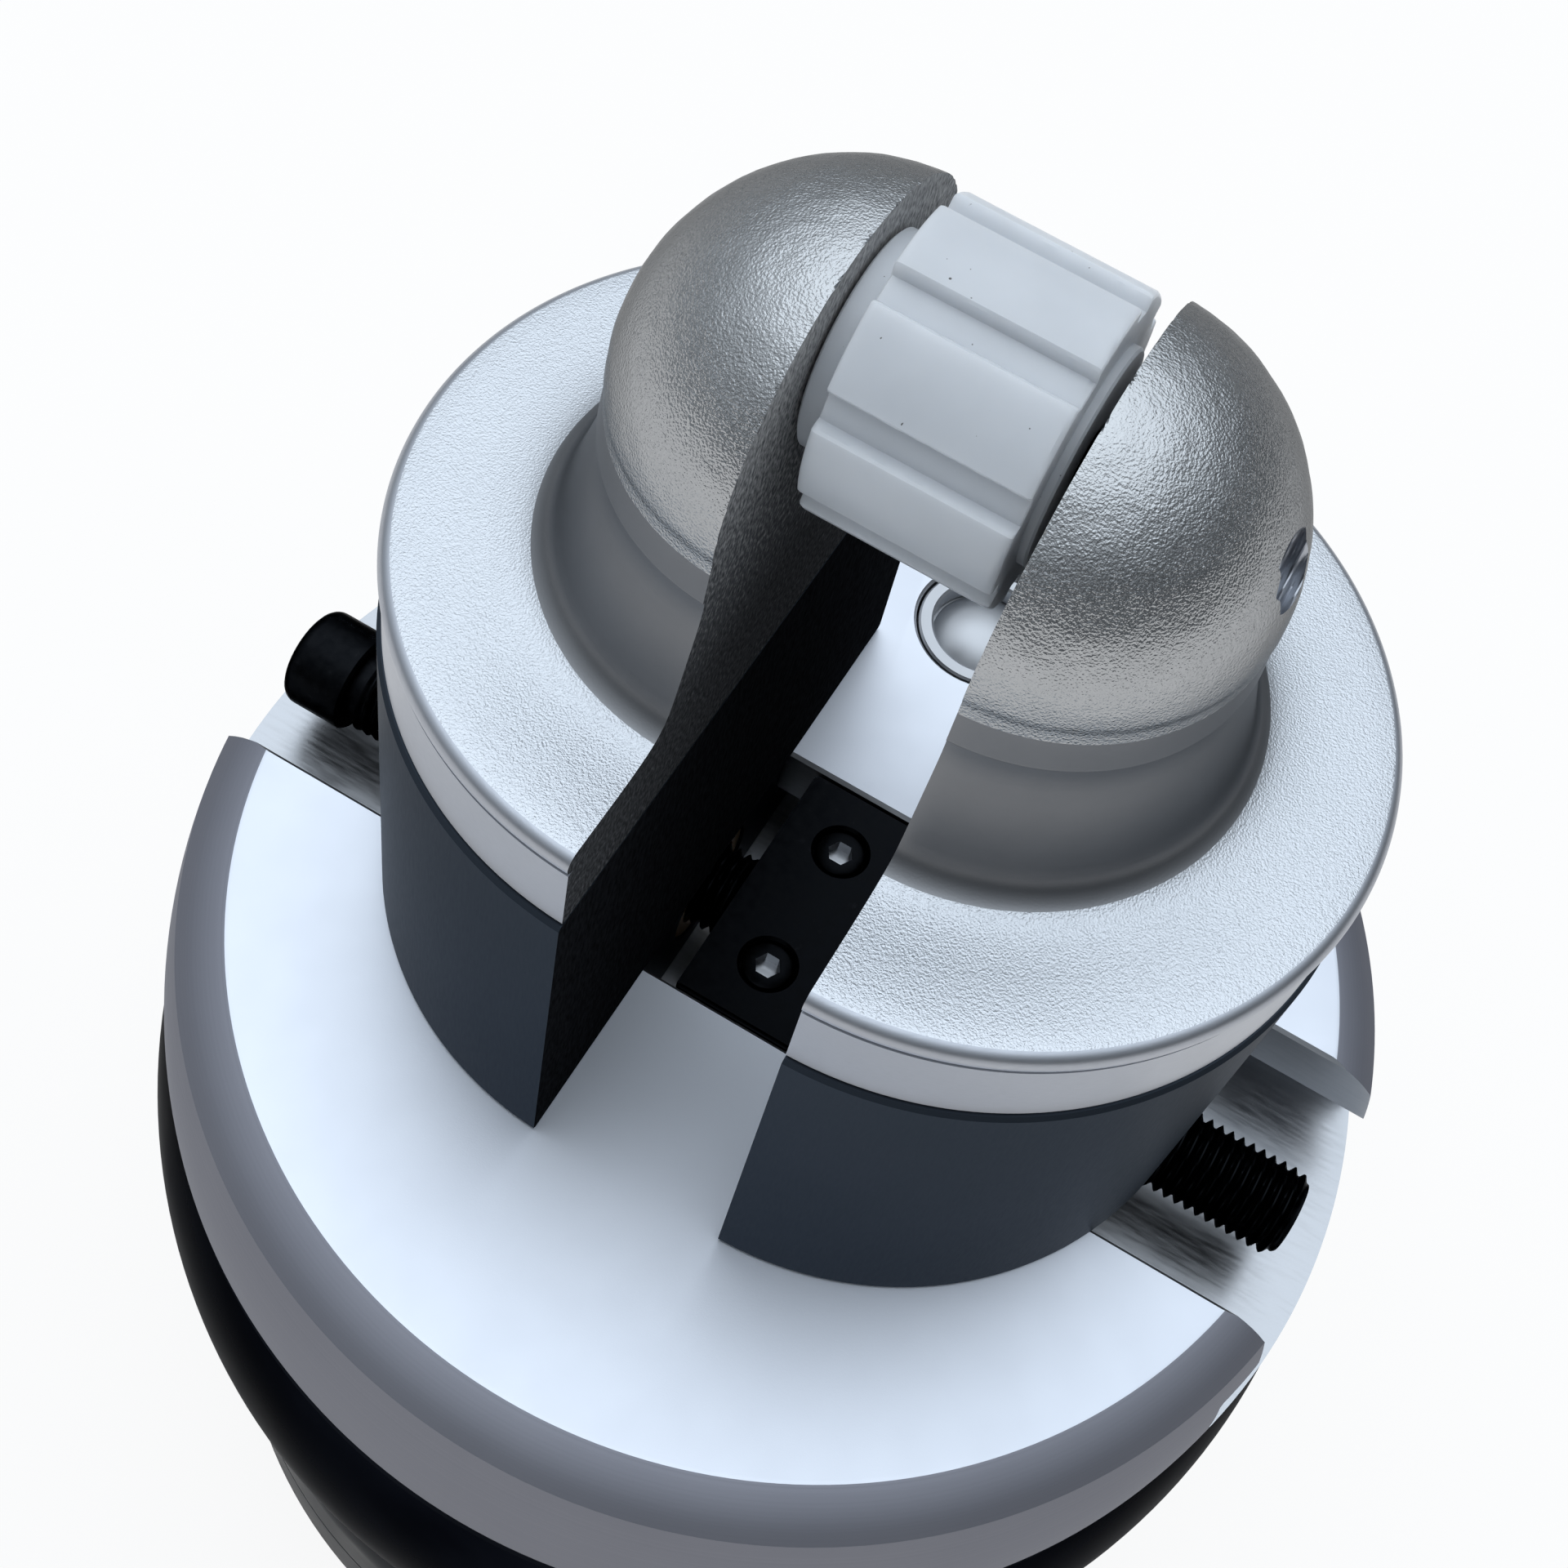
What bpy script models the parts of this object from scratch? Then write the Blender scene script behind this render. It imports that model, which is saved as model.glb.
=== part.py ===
# Ball vise: a heavy ball in a ring pad, a turntable on it, two screw-driven jaws and a split-ball head.
import bmesh
import bpy
from math import acos, asin, cos, pi, radians, sin, sqrt
from mathutils import Vector

# Millimetres below, metres in the scene
MM = 0.001
GAP = 0.3

# Lower ball
BALL_R = 69.5
BALL_LIFT = 3.0
BALL_CAP = 49.8
BALL_FOOT_R = 28.0
BALL_ARCS = 13
COUNTERBORE_R = 24.0
COUNTERBORE_TOP_Z = 36.3
BALL_BORE_R = 17.3
RECESS_R = 26.5
RECESS_DEPTH = 8.6
INDEX_HOLES = 12
INDEX_HOLE_R = 3.4
INDEX_HOLE_DEPTH = 7.7

# Ring pad, sized from the ball that it carries
PAD_MARGIN = 4.5
PAD_HEIGHT_SHARE = 0.4
PAD_BORE_SHARE = 0.46
PAD_EDGE = 3.0
PAD_FOOT_EDGE = 1.5
PAD_SEAT_ARCS = 5

# Turntable, sized from the ball
TABLE_MARGIN = 2.7
TABLE_RISE = 0.6
TABLE_THICK = 21.7
TABLE_WIDEST_DROP = 20.0
TABLE_FOOT_DROP = 0.3
DECK_ROUND = 7.3
SHOULDER_DROP = 2.6
TABLE_SIDE_ARCS = 4
POST_R = 13.5
POST_EDGE = 0.8
POST_HOLE_R = 6.3
POST_HOLE_DEPTH = 30.0

# T-slot across the turntable
SLOT_NECK = 15.5
SLOT_UNDERCUT = 21.5
SLOT_LIP = 8.0
SLOT_DEPTH = 16.0

# Post bearing, sized from the recess that holds it
BUSH_END_DROP = 0.7
RACE_BORE_R = 14.1
RACE_LOWER_THICK = 2.2
BEARING_BALL_R = 1.5
BEARING_BALLS = 12
CAGE_THICK = 1.6
CAGE_MARGIN = 1.6
CAGE_BORE_R = 15.6
CAGE_POCKET_R = 1.9

# Post fixing
WASHER_MARGIN = 3.0
WASHER_BORE_R = 6.4
WASHER_THICK = 4.0
BOLT_R = 6.0
BOLT_HEAD_R = 9.0
BOLT_HEAD_HEIGHT = 8.0
BOLT_TIP_SHORT = 4.0
BOLT_TIP_EDGE = 1.0
BOLT_SOCKET_R = 4.6
BOLT_SOCKET_DEPTH = 4.5

# Lead screw
SCREW_DROP = 6.5
SCREW_R = 4.9
SCREW_RIGHT_REACH = 1.1
SCREW_LEFT_REACH = 4.0
SCREW_TIP_EDGE = 0.8
SCREW_HEAD_R = 5.8
SCREW_HEAD_LENGTH = 7.5
SCREW_HEAD_EDGE = 1.4
SCREW_SOCKET_R = 2.9
SCREW_SOCKET_DEPTH = 5.0
JOURNAL_R = 3.5
BORE_CLEAR = 0.4

# Yoke that holds the lead screw's journal
YOKE_HALF = 7.0
YOKE_SPLIT = 0.15
YOKE_SCREW_Y = 8.0
YOKE_SCREW_R = 1.5
YOKE_SCREW_HEAD_R = 2.7
YOKE_SCREW_HEAD_HEIGHT = 2.5
YOKE_SCREW_HEAD_DROP = 0.6
YOKE_SCREW_TIP_DROP = 7.0
DOWEL_R = 2.0
DOWEL_IN_TABLE = 3.2
DOWEL_IN_YOKE = 3.4

# Jaws
CUT_X = 10.5
SAW_HALF = 1.2
JAW_R = 36.4
JAW_ARCS = 26
SLIDE_START = 11.0
SLIDE_END = 38.0
SLIDE_ROOT = 1.2
NUT_R = 7.0
NUT_LENGTH = 15.0
NUT_BORE_R = 5.2

# Split-ball head, heights above the deck and radii about its own axis
HEAD_BALL_R = 19.2
HEAD_BALL_Z = 76.2
HEAD_BALL_END_Z = 76.6
HEAD_BALL_ARCS = 9
COLLAR_TOP = (19.0, 75.2)
COLLAR_FOOT = (19.3, 70.7)
NECK_TOP = (19.0, 70.5)
NECK_SHAPE = [(19.3, 67.6), (20.2, 63.9), (21.1, 60.5), (21.7, 58.4), (22.5, 57.2), (23.8, 56.3), (26.0, 55.8)]
FLANGE_TOP = 55.6
FLANGE_EDGE = 1.2
LIP_R = 1.3
LIP_INSET = 0.2
LIP_ARCS = 4
BAND_INSET = 1.2
BAND_FOOT = 44.6
HEAD_HOLE_R = 3.1
HEAD_HOLE_Z = 83.6

# Head pins
PIN_R = 3.0
PIN_X = 24.0
PIN_Y = 22.0
PIN_IN_JAW = 8.0
PIN_IN_HEAD = 7.9

# Nylon spool and its stud
SPOOL_R = 13.2
SPOOL_CORE_R = 9.1
SPOOL_GROOVE_R = 12.0
SPOOL_LEFT = 10.2
SPOOL_RIGHT = 9.4
SPOOL_PAD_LEFT = 8.8
SPOOL_PAD_RIGHT = 8.3
SPOOL_PAD_EDGE = 0.4
SPOOL_PADS = 8
SPOOL_PAD_HALF_ANGLE = radians(17.25)
SPOOL_PAD_EDGE_ANGLE = radians(2.2)
STUD_R = 2.75
STUD_LEFT = 17.5
STUD_RIGHT = 16.0
STUD_EDGE = 0.5

# Lock button in the far part of the deck
LOCK_Y = 44.0
LOCK_BORE_R = 8.4
LOCK_BORE_DEPTH = 14.0
LOCK_RING_R = 8.1
LOCK_RING_BORE_R = 6.3
LOCK_RING_THICK = 2.5
LOCK_RING_DROP = 0.2
BUTTON_R = 6.0
BUTTON_DROP = 0.5
BUTTON_DOME = 2.2
BUTTON_DOME_ARCS = 4
BUTTON_SHOULDER_R = 7.9
BUTTON_SHOULDER_THICK = 2.1
LOCK_PIN_R = 3.0
LOCK_PIN_TIP_RISE = 0.6
LOCK_PIN_EDGE = 0.6
SPRING_R = 5.3
SPRING_WIRE_R = 0.4
SPRING_TURNS = 4
SPRING_TURN_POINTS = 10

# Roundness
BIG_SIDES = 48
MIDDLE_SIDES = 24
SMALL_SIDES = 16
TINY_SIDES = 10
HEX_SIDES = 6

# Sizes that follow from the ones above, with heights from the table
BALL_CENTRE_Z = BALL_R + BALL_LIFT
BALL_TOP_Z = BALL_CENTRE_Z + BALL_R - BALL_CAP
RECESS_FLOOR_Z = BALL_TOP_Z - RECESS_DEPTH
INDEX_HOLE_FLOOR_Z = BALL_TOP_Z - INDEX_HOLE_DEPTH
RACE_R = RECESS_R - GAP
BEARING_PITCH_R = (RACE_R + RACE_BORE_R) / 2
CAGE_R = RACE_R - CAGE_MARGIN
WASHER_R = COUNTERBORE_R - WASHER_MARGIN
LIP_OUT_R = JAW_R - LIP_INSET
FLANGE_FLAT_R = LIP_OUT_R - FLANGE_EDGE
BAND_R = JAW_R - BAND_INSET
PAD_R = BALL_R - PAD_MARGIN
PAD_HEIGHT = BALL_R * PAD_HEIGHT_SHARE
PAD_BORE_R = BALL_R * PAD_BORE_SHARE
TABLE_R = BALL_R - TABLE_MARGIN
TABLE_FOOT_R = TABLE_R - TABLE_FOOT_DROP
DECK_EDGE_R = TABLE_R - DECK_ROUND
TABLE_BOTTOM_Z = BALL_TOP_Z + TABLE_RISE
DECK_Z = TABLE_BOTTOM_Z + TABLE_THICK
TABLE_WIDEST_Z = DECK_Z - TABLE_WIDEST_DROP
POST_END_Z = COUNTERBORE_TOP_Z - GAP
POST_HOLE_TOP_Z = POST_END_Z + POST_HOLE_DEPTH
BOLT_TIP_Z = POST_HOLE_TOP_Z - BOLT_TIP_SHORT
SLOT_FLOOR_Z = DECK_Z - SLOT_DEPTH
SLOT_LIP_Z = DECK_Z - SLOT_LIP
SCREW_Z = DECK_Z - SCREW_DROP
SCREW_RIGHT_END = DECK_EDGE_R + SCREW_RIGHT_REACH
SCREW_LEFT_END = DECK_EDGE_R + SCREW_LEFT_REACH
YOKE_SCREW_HEAD_TOP_Z = DECK_Z - YOKE_SCREW_HEAD_DROP
YOKE_SCREW_TIP_Z = SCREW_Z - YOKE_SCREW_TIP_DROP
DOWEL_BOTTOM_Z = SLOT_FLOOR_Z - DOWEL_IN_TABLE
DOWEL_TOP_Z = SLOT_FLOOR_Z + DOWEL_IN_YOKE
JAW_AXIS_X = CUT_X - SAW_HALF
HEAD_AXIS_Z = DECK_Z + HEAD_HOLE_Z
JAW_FOOT_Z = DECK_Z + GAP
JAW_TOP_Z = DECK_Z + BAND_FOOT - GAP
RACE_LOWER_Z = RECESS_FLOOR_Z + GAP
BEARING_Z = RACE_LOWER_Z + RACE_LOWER_THICK + GAP + BEARING_BALL_R
RACE_UPPER_Z = BEARING_Z + BEARING_BALL_R + GAP
RACE_UPPER_TOP_Z = TABLE_BOTTOM_Z - GAP
WASHER_TOP_Z = POST_END_Z - GAP
WASHER_FOOT_Z = WASHER_TOP_Z - WASHER_THICK
BOLT_HEAD_TOP_Z = WASHER_FOOT_Z - GAP
LOCK_BORE_FLOOR_Z = DECK_Z - LOCK_BORE_DEPTH
LOCK_RING_TOP_Z = DECK_Z - LOCK_RING_DROP
LOCK_RING_FOOT_Z = LOCK_RING_TOP_Z - LOCK_RING_THICK
BUTTON_SHOULDER_Z = LOCK_RING_FOOT_Z - GAP
BUTTON_FOOT_Z = BUTTON_SHOULDER_Z - BUTTON_SHOULDER_THICK
BUTTON_TOP_Z = DECK_Z - BUTTON_DROP
LOCK_PIN_TIP_Z = TABLE_BOTTOM_Z + LOCK_PIN_TIP_RISE

for leftover in list(bpy.data.objects):
    bpy.data.objects.remove(leftover)

vise = bpy.data.collections.new("ball_vise")
cutters = bpy.data.collections.new("cutters")
cutters.hide_render = True
bpy.context.scene.collection.children.link(vise)
bpy.context.scene.collection.children.link(cutters)


def finish_of(name, colour, roughness, metallic):
    material = bpy.data.materials.new(name)
    material.use_nodes = True
    shader = material.node_tree.nodes["Principled BSDF"]
    shader.inputs["Base Color"].default_value = (*colour, 1.0)
    shader.inputs["Roughness"].default_value = roughness
    shader.inputs["Metallic"].default_value = metallic
    material.diffuse_color = (*colour, 1.0)
    return material


# Colour, roughness and metallic of each kind of piece
FINISHES = {
    "rubber": ((0.03, 0.03, 0.03), 0.8, 0.0),
    "black_steel": ((0.02, 0.021, 0.024), 0.38, 0.8),
    "satin_steel": ((0.6, 0.63, 0.67), 0.3, 1.0),
    "jaw_steel": ((0.05, 0.06, 0.075), 0.42, 0.85),
    "cast_aluminium": ((0.7, 0.73, 0.77), 0.42, 1.0),
    "nylon": ((0.82, 0.85, 0.88), 0.35, 0.0),
    "black_oxide": ((0.025, 0.027, 0.03), 0.35, 0.8),
    "bronze": ((0.5, 0.32, 0.14), 0.35, 1.0),
    "bright_steel": ((0.62, 0.62, 0.64), 0.2, 1.0),
    "spring_steel": ((0.45, 0.46, 0.48), 0.25, 1.0),
}


def dress(obj, finish):
    obj.data.materials.append(finish_of(obj.name + "_finish", *FINISHES[finish]))


def place(obj, origin, body):
    home = body.matrix_world.translation if body else Vector()
    obj.parent = body
    obj.location = Vector(origin) * MM - home
    bpy.context.view_layer.update()


def joint_at(name, origin, body=None):
    empty = bpy.data.objects.new(name, None)
    vise.objects.link(empty)
    place(empty, origin, body)
    return empty


def as_object(name, mesh, group):
    obj = bpy.data.objects.new(name, mesh)
    group.objects.link(obj)
    if group == cutters:
        obj.display_type = "WIRE"
    return obj


def solid(name, points, faces, group):
    mesh = bpy.data.meshes.new(name)
    shell = bmesh.new()
    corners = [shell.verts.new(Vector(point) * MM) for point in points]
    for face in faces:
        shell.faces.new([corners[index] for index in face])
    bmesh.ops.recalc_face_normals(shell, faces=shell.faces)
    shell.to_mesh(mesh)
    shell.free()
    return as_object(name, mesh, group)


def turned(name, profile, sides, group, is_ring=False):
    # The profile is (radius, height) about the local Z axis, down the outer side
    mesh = bpy.data.meshes.new(name)
    corners = [(radius * MM, 0, height * MM) for radius, height in profile]
    edges = [(index, index + 1) for index in range(len(corners) - 1)]
    if is_ring:
        edges.append((len(corners) - 1, 0))
    mesh.from_pydata(corners, edges, [])
    obj = as_object(name, mesh, group)
    screw = obj.modifiers.new("turn", "SCREW")
    screw.axis = "Z"
    screw.angle = 2 * pi
    screw.steps = sides
    screw.render_steps = sides
    screw.use_merge_vertices = True
    screw.merge_threshold = 0.00001
    return obj


def prism(name, outline, axis, low, high, group):
    # The outline lies across the axis: (y, z) for X, (x, y) for Z
    count = len(outline)
    ends = []
    for along in (low, high):
        for first, second in outline:
            ends.append((along, first, second) if axis == "X" else (first, second, along))
    faces = [list(range(count)), list(range(count, 2 * count))]
    for index in range(count):
        after = (index + 1) % count
        faces.append([index, after, count + after, count + index])
    return solid(name, ends, faces, group)


def circle(radius, sides, centre=(0, 0), turn=0):
    angles = [turn + 2 * pi * index / sides for index in range(sides)]
    return [(centre[0] + radius * cos(angle), centre[1] + radius * sin(angle)) for angle in angles]


def arc(radius, centre, start, end, steps):
    angles = [start + (end - start) * index / steps for index in range(steps + 1)]
    return [(centre[0] + radius * cos(angle), centre[1] + radius * sin(angle)) for angle in angles]


def combine(obj, tool, operation):
    change = obj.modifiers.new(tool.name, "BOOLEAN")
    change.operation = operation
    change.solver = "EXACT"
    change.object = tool


def cut(obj, tool):
    combine(obj, tool, "DIFFERENCE")


def hole(obj, label, axis, centre, radius, low, high, sides, turn=0):
    # A round or, with few sides, a hexagonal hole along the axis
    tool = prism(obj.name + "_" + label, circle(radius, sides, centre, turn), axis, low, high, cutters)
    cut(obj, tool)


def smooth(obj):
    obj.data.shade_smooth()
    obj.data.set_sharp_from_angle(angle=radians(35))


def finish_piece(obj, origin, body, finish):
    place(obj, origin, body)
    dress(obj, finish)
    return obj


# Bodies, each with its origin on the axis of its joint
pad_body = joint_at("body_pad", (0, 0, 0))
ball_body = joint_at("body_ball", (0, 0, BALL_CENTRE_Z), pad_body)
table_body = joint_at("body_turntable", (0, 0, TABLE_BOTTOM_Z), ball_body)
cage_body = joint_at("body_cage", (0, 0, BEARING_Z), ball_body)
screw_body = joint_at("body_lead_screw", (0, 0, SCREW_Z), table_body)
left_body = joint_at("body_jaw_left", (-JAW_AXIS_X, 0, SCREW_Z), table_body)
right_body = joint_at("body_jaw_right", (JAW_AXIS_X, 0, SCREW_Z), table_body)
spool_body = joint_at("body_spool", (0, 0, HEAD_AXIS_Z), left_body)
button_body = joint_at("body_lock_button", (0, LOCK_Y, BUTTON_TOP_Z), table_body)

# Ring pad with a spherical seat
seat_r = BALL_R + GAP
seat_low = -acos(PAD_BORE_R / seat_r)
seat_high = -asin((BALL_CENTRE_Z - PAD_HEIGHT) / seat_r)
pad_profile = [(PAD_R - PAD_EDGE, PAD_HEIGHT), (PAD_R, PAD_HEIGHT - PAD_EDGE)]
pad_profile += [(PAD_R, PAD_FOOT_EDGE), (PAD_R - PAD_FOOT_EDGE, 0)]
pad_profile += [(PAD_BORE_R, 0)]
pad_profile += arc(seat_r, (0, BALL_CENTRE_Z), seat_low, seat_high, PAD_SEAT_ARCS)
ring_pad = turned("ring_pad", pad_profile, BIG_SIDES, vise, is_ring=True)
finish_piece(ring_pad, (0, 0, 0), pad_body, "rubber")

# Lower ball with the bearing's recess above and the bolt's counterbore below
ball_high = asin((BALL_TOP_Z - BALL_CENTRE_Z) / BALL_R)
ball_low = -acos(BALL_FOOT_R / BALL_R)
ball_foot_z = BALL_CENTRE_Z + BALL_R * sin(ball_low)
ball_profile = arc(BALL_R, (0, BALL_CENTRE_Z), ball_high, ball_low, BALL_ARCS)
ball_profile += [(COUNTERBORE_R, ball_foot_z), (COUNTERBORE_R, COUNTERBORE_TOP_Z)]
ball_profile += [(BALL_BORE_R, COUNTERBORE_TOP_Z), (BALL_BORE_R, RECESS_FLOOR_Z)]
ball_profile += [(RECESS_R, RECESS_FLOOR_Z), (RECESS_R, BALL_TOP_Z)]
ball_profile = [(radius, height - BALL_CENTRE_Z) for radius, height in ball_profile]
lower_ball = turned("lower_ball", ball_profile, BIG_SIDES, vise, is_ring=True)
finish_piece(lower_ball, (0, 0, BALL_CENTRE_Z), ball_body, "black_steel")
for index in range(INDEX_HOLES):
    angle = pi / 2 + 2 * pi * index / INDEX_HOLES
    centre = (LOCK_Y * cos(angle), LOCK_Y * sin(angle))
    label = "index_" + str(index + 1)
    hole(lower_ball, label, "Z", centre, INDEX_HOLE_R, INDEX_HOLE_FLOOR_Z, BALL_CENTRE_Z + BALL_R, TINY_SIDES)

# Bush that the turntable's post turns in
bush_top = RECESS_FLOOR_Z - GAP
bush_foot = COUNTERBORE_TOP_Z + BUSH_END_DROP
bush_profile = [(BALL_BORE_R - GAP, bush_top), (BALL_BORE_R - GAP, bush_foot)]
bush_profile += [(POST_R + GAP, bush_foot), (POST_R + GAP, bush_top)]
post_bush = turned("post_bush", bush_profile, BIG_SIDES, vise, is_ring=True)
finish_piece(post_bush, (0, 0, 0), ball_body, "bronze")

# Thrust bearing: two races, a cage and its balls
for name, low, high, body in (
    ("race_lower", RACE_LOWER_Z, RACE_LOWER_Z + RACE_LOWER_THICK, ball_body),
    ("race_upper", RACE_UPPER_Z, RACE_UPPER_TOP_Z, table_body),
):
    race_profile = [(RACE_R, high), (RACE_R, low), (RACE_BORE_R, low), (RACE_BORE_R, high)]
    race = turned(name, race_profile, MIDDLE_SIDES, vise, is_ring=True)
    finish_piece(race, (0, 0, 0), body, "bright_steel")
half_cage = CAGE_THICK / 2
cage_profile = [(CAGE_R, half_cage), (CAGE_R, -half_cage), (CAGE_BORE_R, -half_cage), (CAGE_BORE_R, half_cage)]
bearing_cage = turned("bearing_cage", cage_profile, MIDDLE_SIDES, vise, is_ring=True)
finish_piece(bearing_cage, (0, 0, BEARING_Z), cage_body, "bronze")
for index in range(BEARING_BALLS):
    angle = 2 * pi * (index + 1 / 2) / BEARING_BALLS
    centre = (BEARING_PITCH_R * cos(angle), BEARING_PITCH_R * sin(angle))
    label = "pocket_" + str(index + 1)
    low = BEARING_Z - CAGE_THICK
    high = BEARING_Z + CAGE_THICK
    hole(bearing_cage, label, "Z", centre, CAGE_POCKET_R, low, high, TINY_SIDES)
    ball_mesh = bpy.data.meshes.new("bearing_ball")
    ball_shell = bmesh.new()
    bmesh.ops.create_uvsphere(
        ball_shell, u_segments=TINY_SIDES, v_segments=HEX_SIDES, radius=BEARING_BALL_R * MM
    )
    ball_shell.to_mesh(ball_mesh)
    ball_shell.free()
    bearing_ball = as_object("bearing_ball_" + str(index + 1).zfill(2), ball_mesh, vise)
    finish_piece(bearing_ball, (*centre, BEARING_Z), cage_body, "bright_steel")

# Turntable with its post, T-slot and lock bore
side_high = asin((TABLE_WIDEST_DROP - SHOULDER_DROP) / TABLE_R)
shoulder_r = TABLE_R * cos(side_high)
table_profile = [(0, DECK_Z), (DECK_EDGE_R, DECK_Z)]
table_profile += [((DECK_EDGE_R + shoulder_r) / 2 + SHOULDER_DROP / 5, DECK_Z - SHOULDER_DROP / 4)]
table_profile += arc(TABLE_R, (0, TABLE_WIDEST_Z), side_high, 0, TABLE_SIDE_ARCS)
table_profile += [(TABLE_FOOT_R, TABLE_BOTTOM_Z), (POST_R, TABLE_BOTTOM_Z)]
table_profile += [(POST_R, POST_END_Z + POST_EDGE), (POST_R - POST_EDGE, POST_END_Z)]
table_profile += [(POST_HOLE_R, POST_END_Z), (POST_HOLE_R, POST_HOLE_TOP_Z), (0, POST_HOLE_TOP_Z)]
table_profile = [(radius, height - TABLE_BOTTOM_Z) for radius, height in table_profile]
turntable = turned("turntable", table_profile, BIG_SIDES, vise)
finish_piece(turntable, (0, 0, TABLE_BOTTOM_Z), table_body, "satin_steel")
slot_outline = [
    (-SLOT_UNDERCUT, SLOT_FLOOR_Z),
    (SLOT_UNDERCUT, SLOT_FLOOR_Z),
    (SLOT_UNDERCUT, SLOT_LIP_Z),
    (SLOT_NECK, SLOT_LIP_Z),
    (SLOT_NECK, DECK_Z + SLOT_LIP),
    (-SLOT_NECK, DECK_Z + SLOT_LIP),
    (-SLOT_NECK, SLOT_LIP_Z),
    (-SLOT_UNDERCUT, SLOT_LIP_Z),
]
cut(turntable, prism("turntable_slot", slot_outline, "X", -2 * TABLE_R, 2 * TABLE_R, cutters))
hole(
    turntable, "lock_bore", "Z", (0, LOCK_Y), LOCK_BORE_R, LOCK_BORE_FLOOR_Z, DECK_Z + LOCK_BORE_R, MIDDLE_SIDES
)
hole(
    turntable,
    "pin_bore",
    "Z",
    (0, LOCK_Y),
    INDEX_HOLE_R,
    TABLE_BOTTOM_Z - INDEX_HOLE_R,
    LOCK_BORE_FLOOR_Z + INDEX_HOLE_R,
    SMALL_SIDES,
)
hole(turntable, "dowel", "Z", (0, 0), DOWEL_R + GAP, DOWEL_BOTTOM_Z - GAP, SLOT_FLOOR_Z + GAP, TINY_SIDES)

# Washer and bolt that hold the post in the ball
washer_profile = [(WASHER_R, WASHER_TOP_Z), (WASHER_R, WASHER_FOOT_Z)]
washer_profile += [(WASHER_BORE_R, WASHER_FOOT_Z), (WASHER_BORE_R, WASHER_TOP_Z)]
retaining_washer = turned("retaining_washer", washer_profile, MIDDLE_SIDES, vise, is_ring=True)
finish_piece(retaining_washer, (0, 0, 0), table_body, "bright_steel")
bolt_profile = [(0, BOLT_TIP_Z), (BOLT_R - BOLT_TIP_EDGE, BOLT_TIP_Z), (BOLT_R, BOLT_TIP_Z - BOLT_TIP_EDGE)]
bolt_profile += [(BOLT_R, BOLT_HEAD_TOP_Z), (BOLT_HEAD_R, BOLT_HEAD_TOP_Z)]
bolt_profile += [(BOLT_HEAD_R, BOLT_HEAD_TOP_Z - BOLT_HEAD_HEIGHT), (0, BOLT_HEAD_TOP_Z - BOLT_HEAD_HEIGHT)]
pivot_bolt = turned("pivot_bolt", bolt_profile, SMALL_SIDES, vise)
finish_piece(pivot_bolt, (0, 0, 0), table_body, "black_oxide")
socket_floor = BOLT_HEAD_TOP_Z - BOLT_HEAD_HEIGHT + BOLT_SOCKET_DEPTH
socket_mouth = BOLT_HEAD_TOP_Z - BOLT_HEAD_HEIGHT - GAP
hole(pivot_bolt, "socket", "Z", (0, 0), BOLT_SOCKET_R, socket_mouth, socket_floor, HEX_SIDES)

# Lead screw, turned about its own axis and laid along X
screw_profile = [(0, SCREW_RIGHT_END), (SCREW_R - SCREW_TIP_EDGE, SCREW_RIGHT_END)]
screw_profile += [(SCREW_R, SCREW_RIGHT_END - SCREW_TIP_EDGE)]
screw_profile += [(SCREW_R, YOKE_HALF + GAP), (JOURNAL_R, YOKE_HALF + GAP)]
screw_profile += [(JOURNAL_R, -YOKE_HALF - GAP), (SCREW_R, -YOKE_HALF - GAP)]
head_start = -SCREW_LEFT_END + SCREW_HEAD_LENGTH
screw_profile += [(SCREW_R, head_start), (SCREW_HEAD_R, head_start)]
screw_profile += [(SCREW_HEAD_R, -SCREW_LEFT_END + SCREW_HEAD_EDGE)]
screw_profile += [(SCREW_HEAD_R - SCREW_HEAD_EDGE / 3, -SCREW_LEFT_END + SCREW_HEAD_EDGE / 3)]
screw_profile += [(SCREW_HEAD_R - SCREW_HEAD_EDGE, -SCREW_LEFT_END), (0, -SCREW_LEFT_END)]
lead_screw = turned("lead_screw", screw_profile, MIDDLE_SIDES, vise)
lead_screw.rotation_euler = (0, pi / 2, 0)
finish_piece(lead_screw, (0, 0, SCREW_Z), screw_body, "black_oxide")
for label, low, high in (
    ("socket_right", SCREW_RIGHT_END - SCREW_SOCKET_DEPTH, SCREW_RIGHT_END + GAP),
    ("socket_left", -SCREW_LEFT_END - GAP, -SCREW_LEFT_END + SCREW_SOCKET_DEPTH),
):
    hole(lead_screw, label, "X", (0, SCREW_Z), SCREW_SOCKET_R, low, high, HEX_SIDES)

# Yoke: a T-shaped base, a cap, two screws and a dowel
neck = SLOT_NECK - GAP
wing = SLOT_UNDERCUT - GAP
wing_top = SLOT_LIP_Z - GAP
slide_floor = SLOT_FLOOR_Z + GAP
yoke_top = SCREW_Z - YOKE_SPLIT
base_outline = [(-wing, slide_floor), (wing, slide_floor), (wing, wing_top), (neck, wing_top)]
base_outline += [(neck, yoke_top), (-neck, yoke_top), (-neck, wing_top), (-wing, wing_top)]
yoke_base = prism("yoke_base", base_outline, "X", -YOKE_HALF, YOKE_HALF, vise)
cap_foot = SCREW_Z + YOKE_SPLIT
cap_top = DECK_Z - GAP
cap_outline = [(-neck, cap_foot), (neck, cap_foot), (neck, cap_top), (-neck, cap_top)]
yoke_cap = prism("yoke_cap", cap_outline, "X", -YOKE_HALF, YOKE_HALF, vise)
finish_piece(yoke_base, (0, 0, 0), table_body, "satin_steel")
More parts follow.
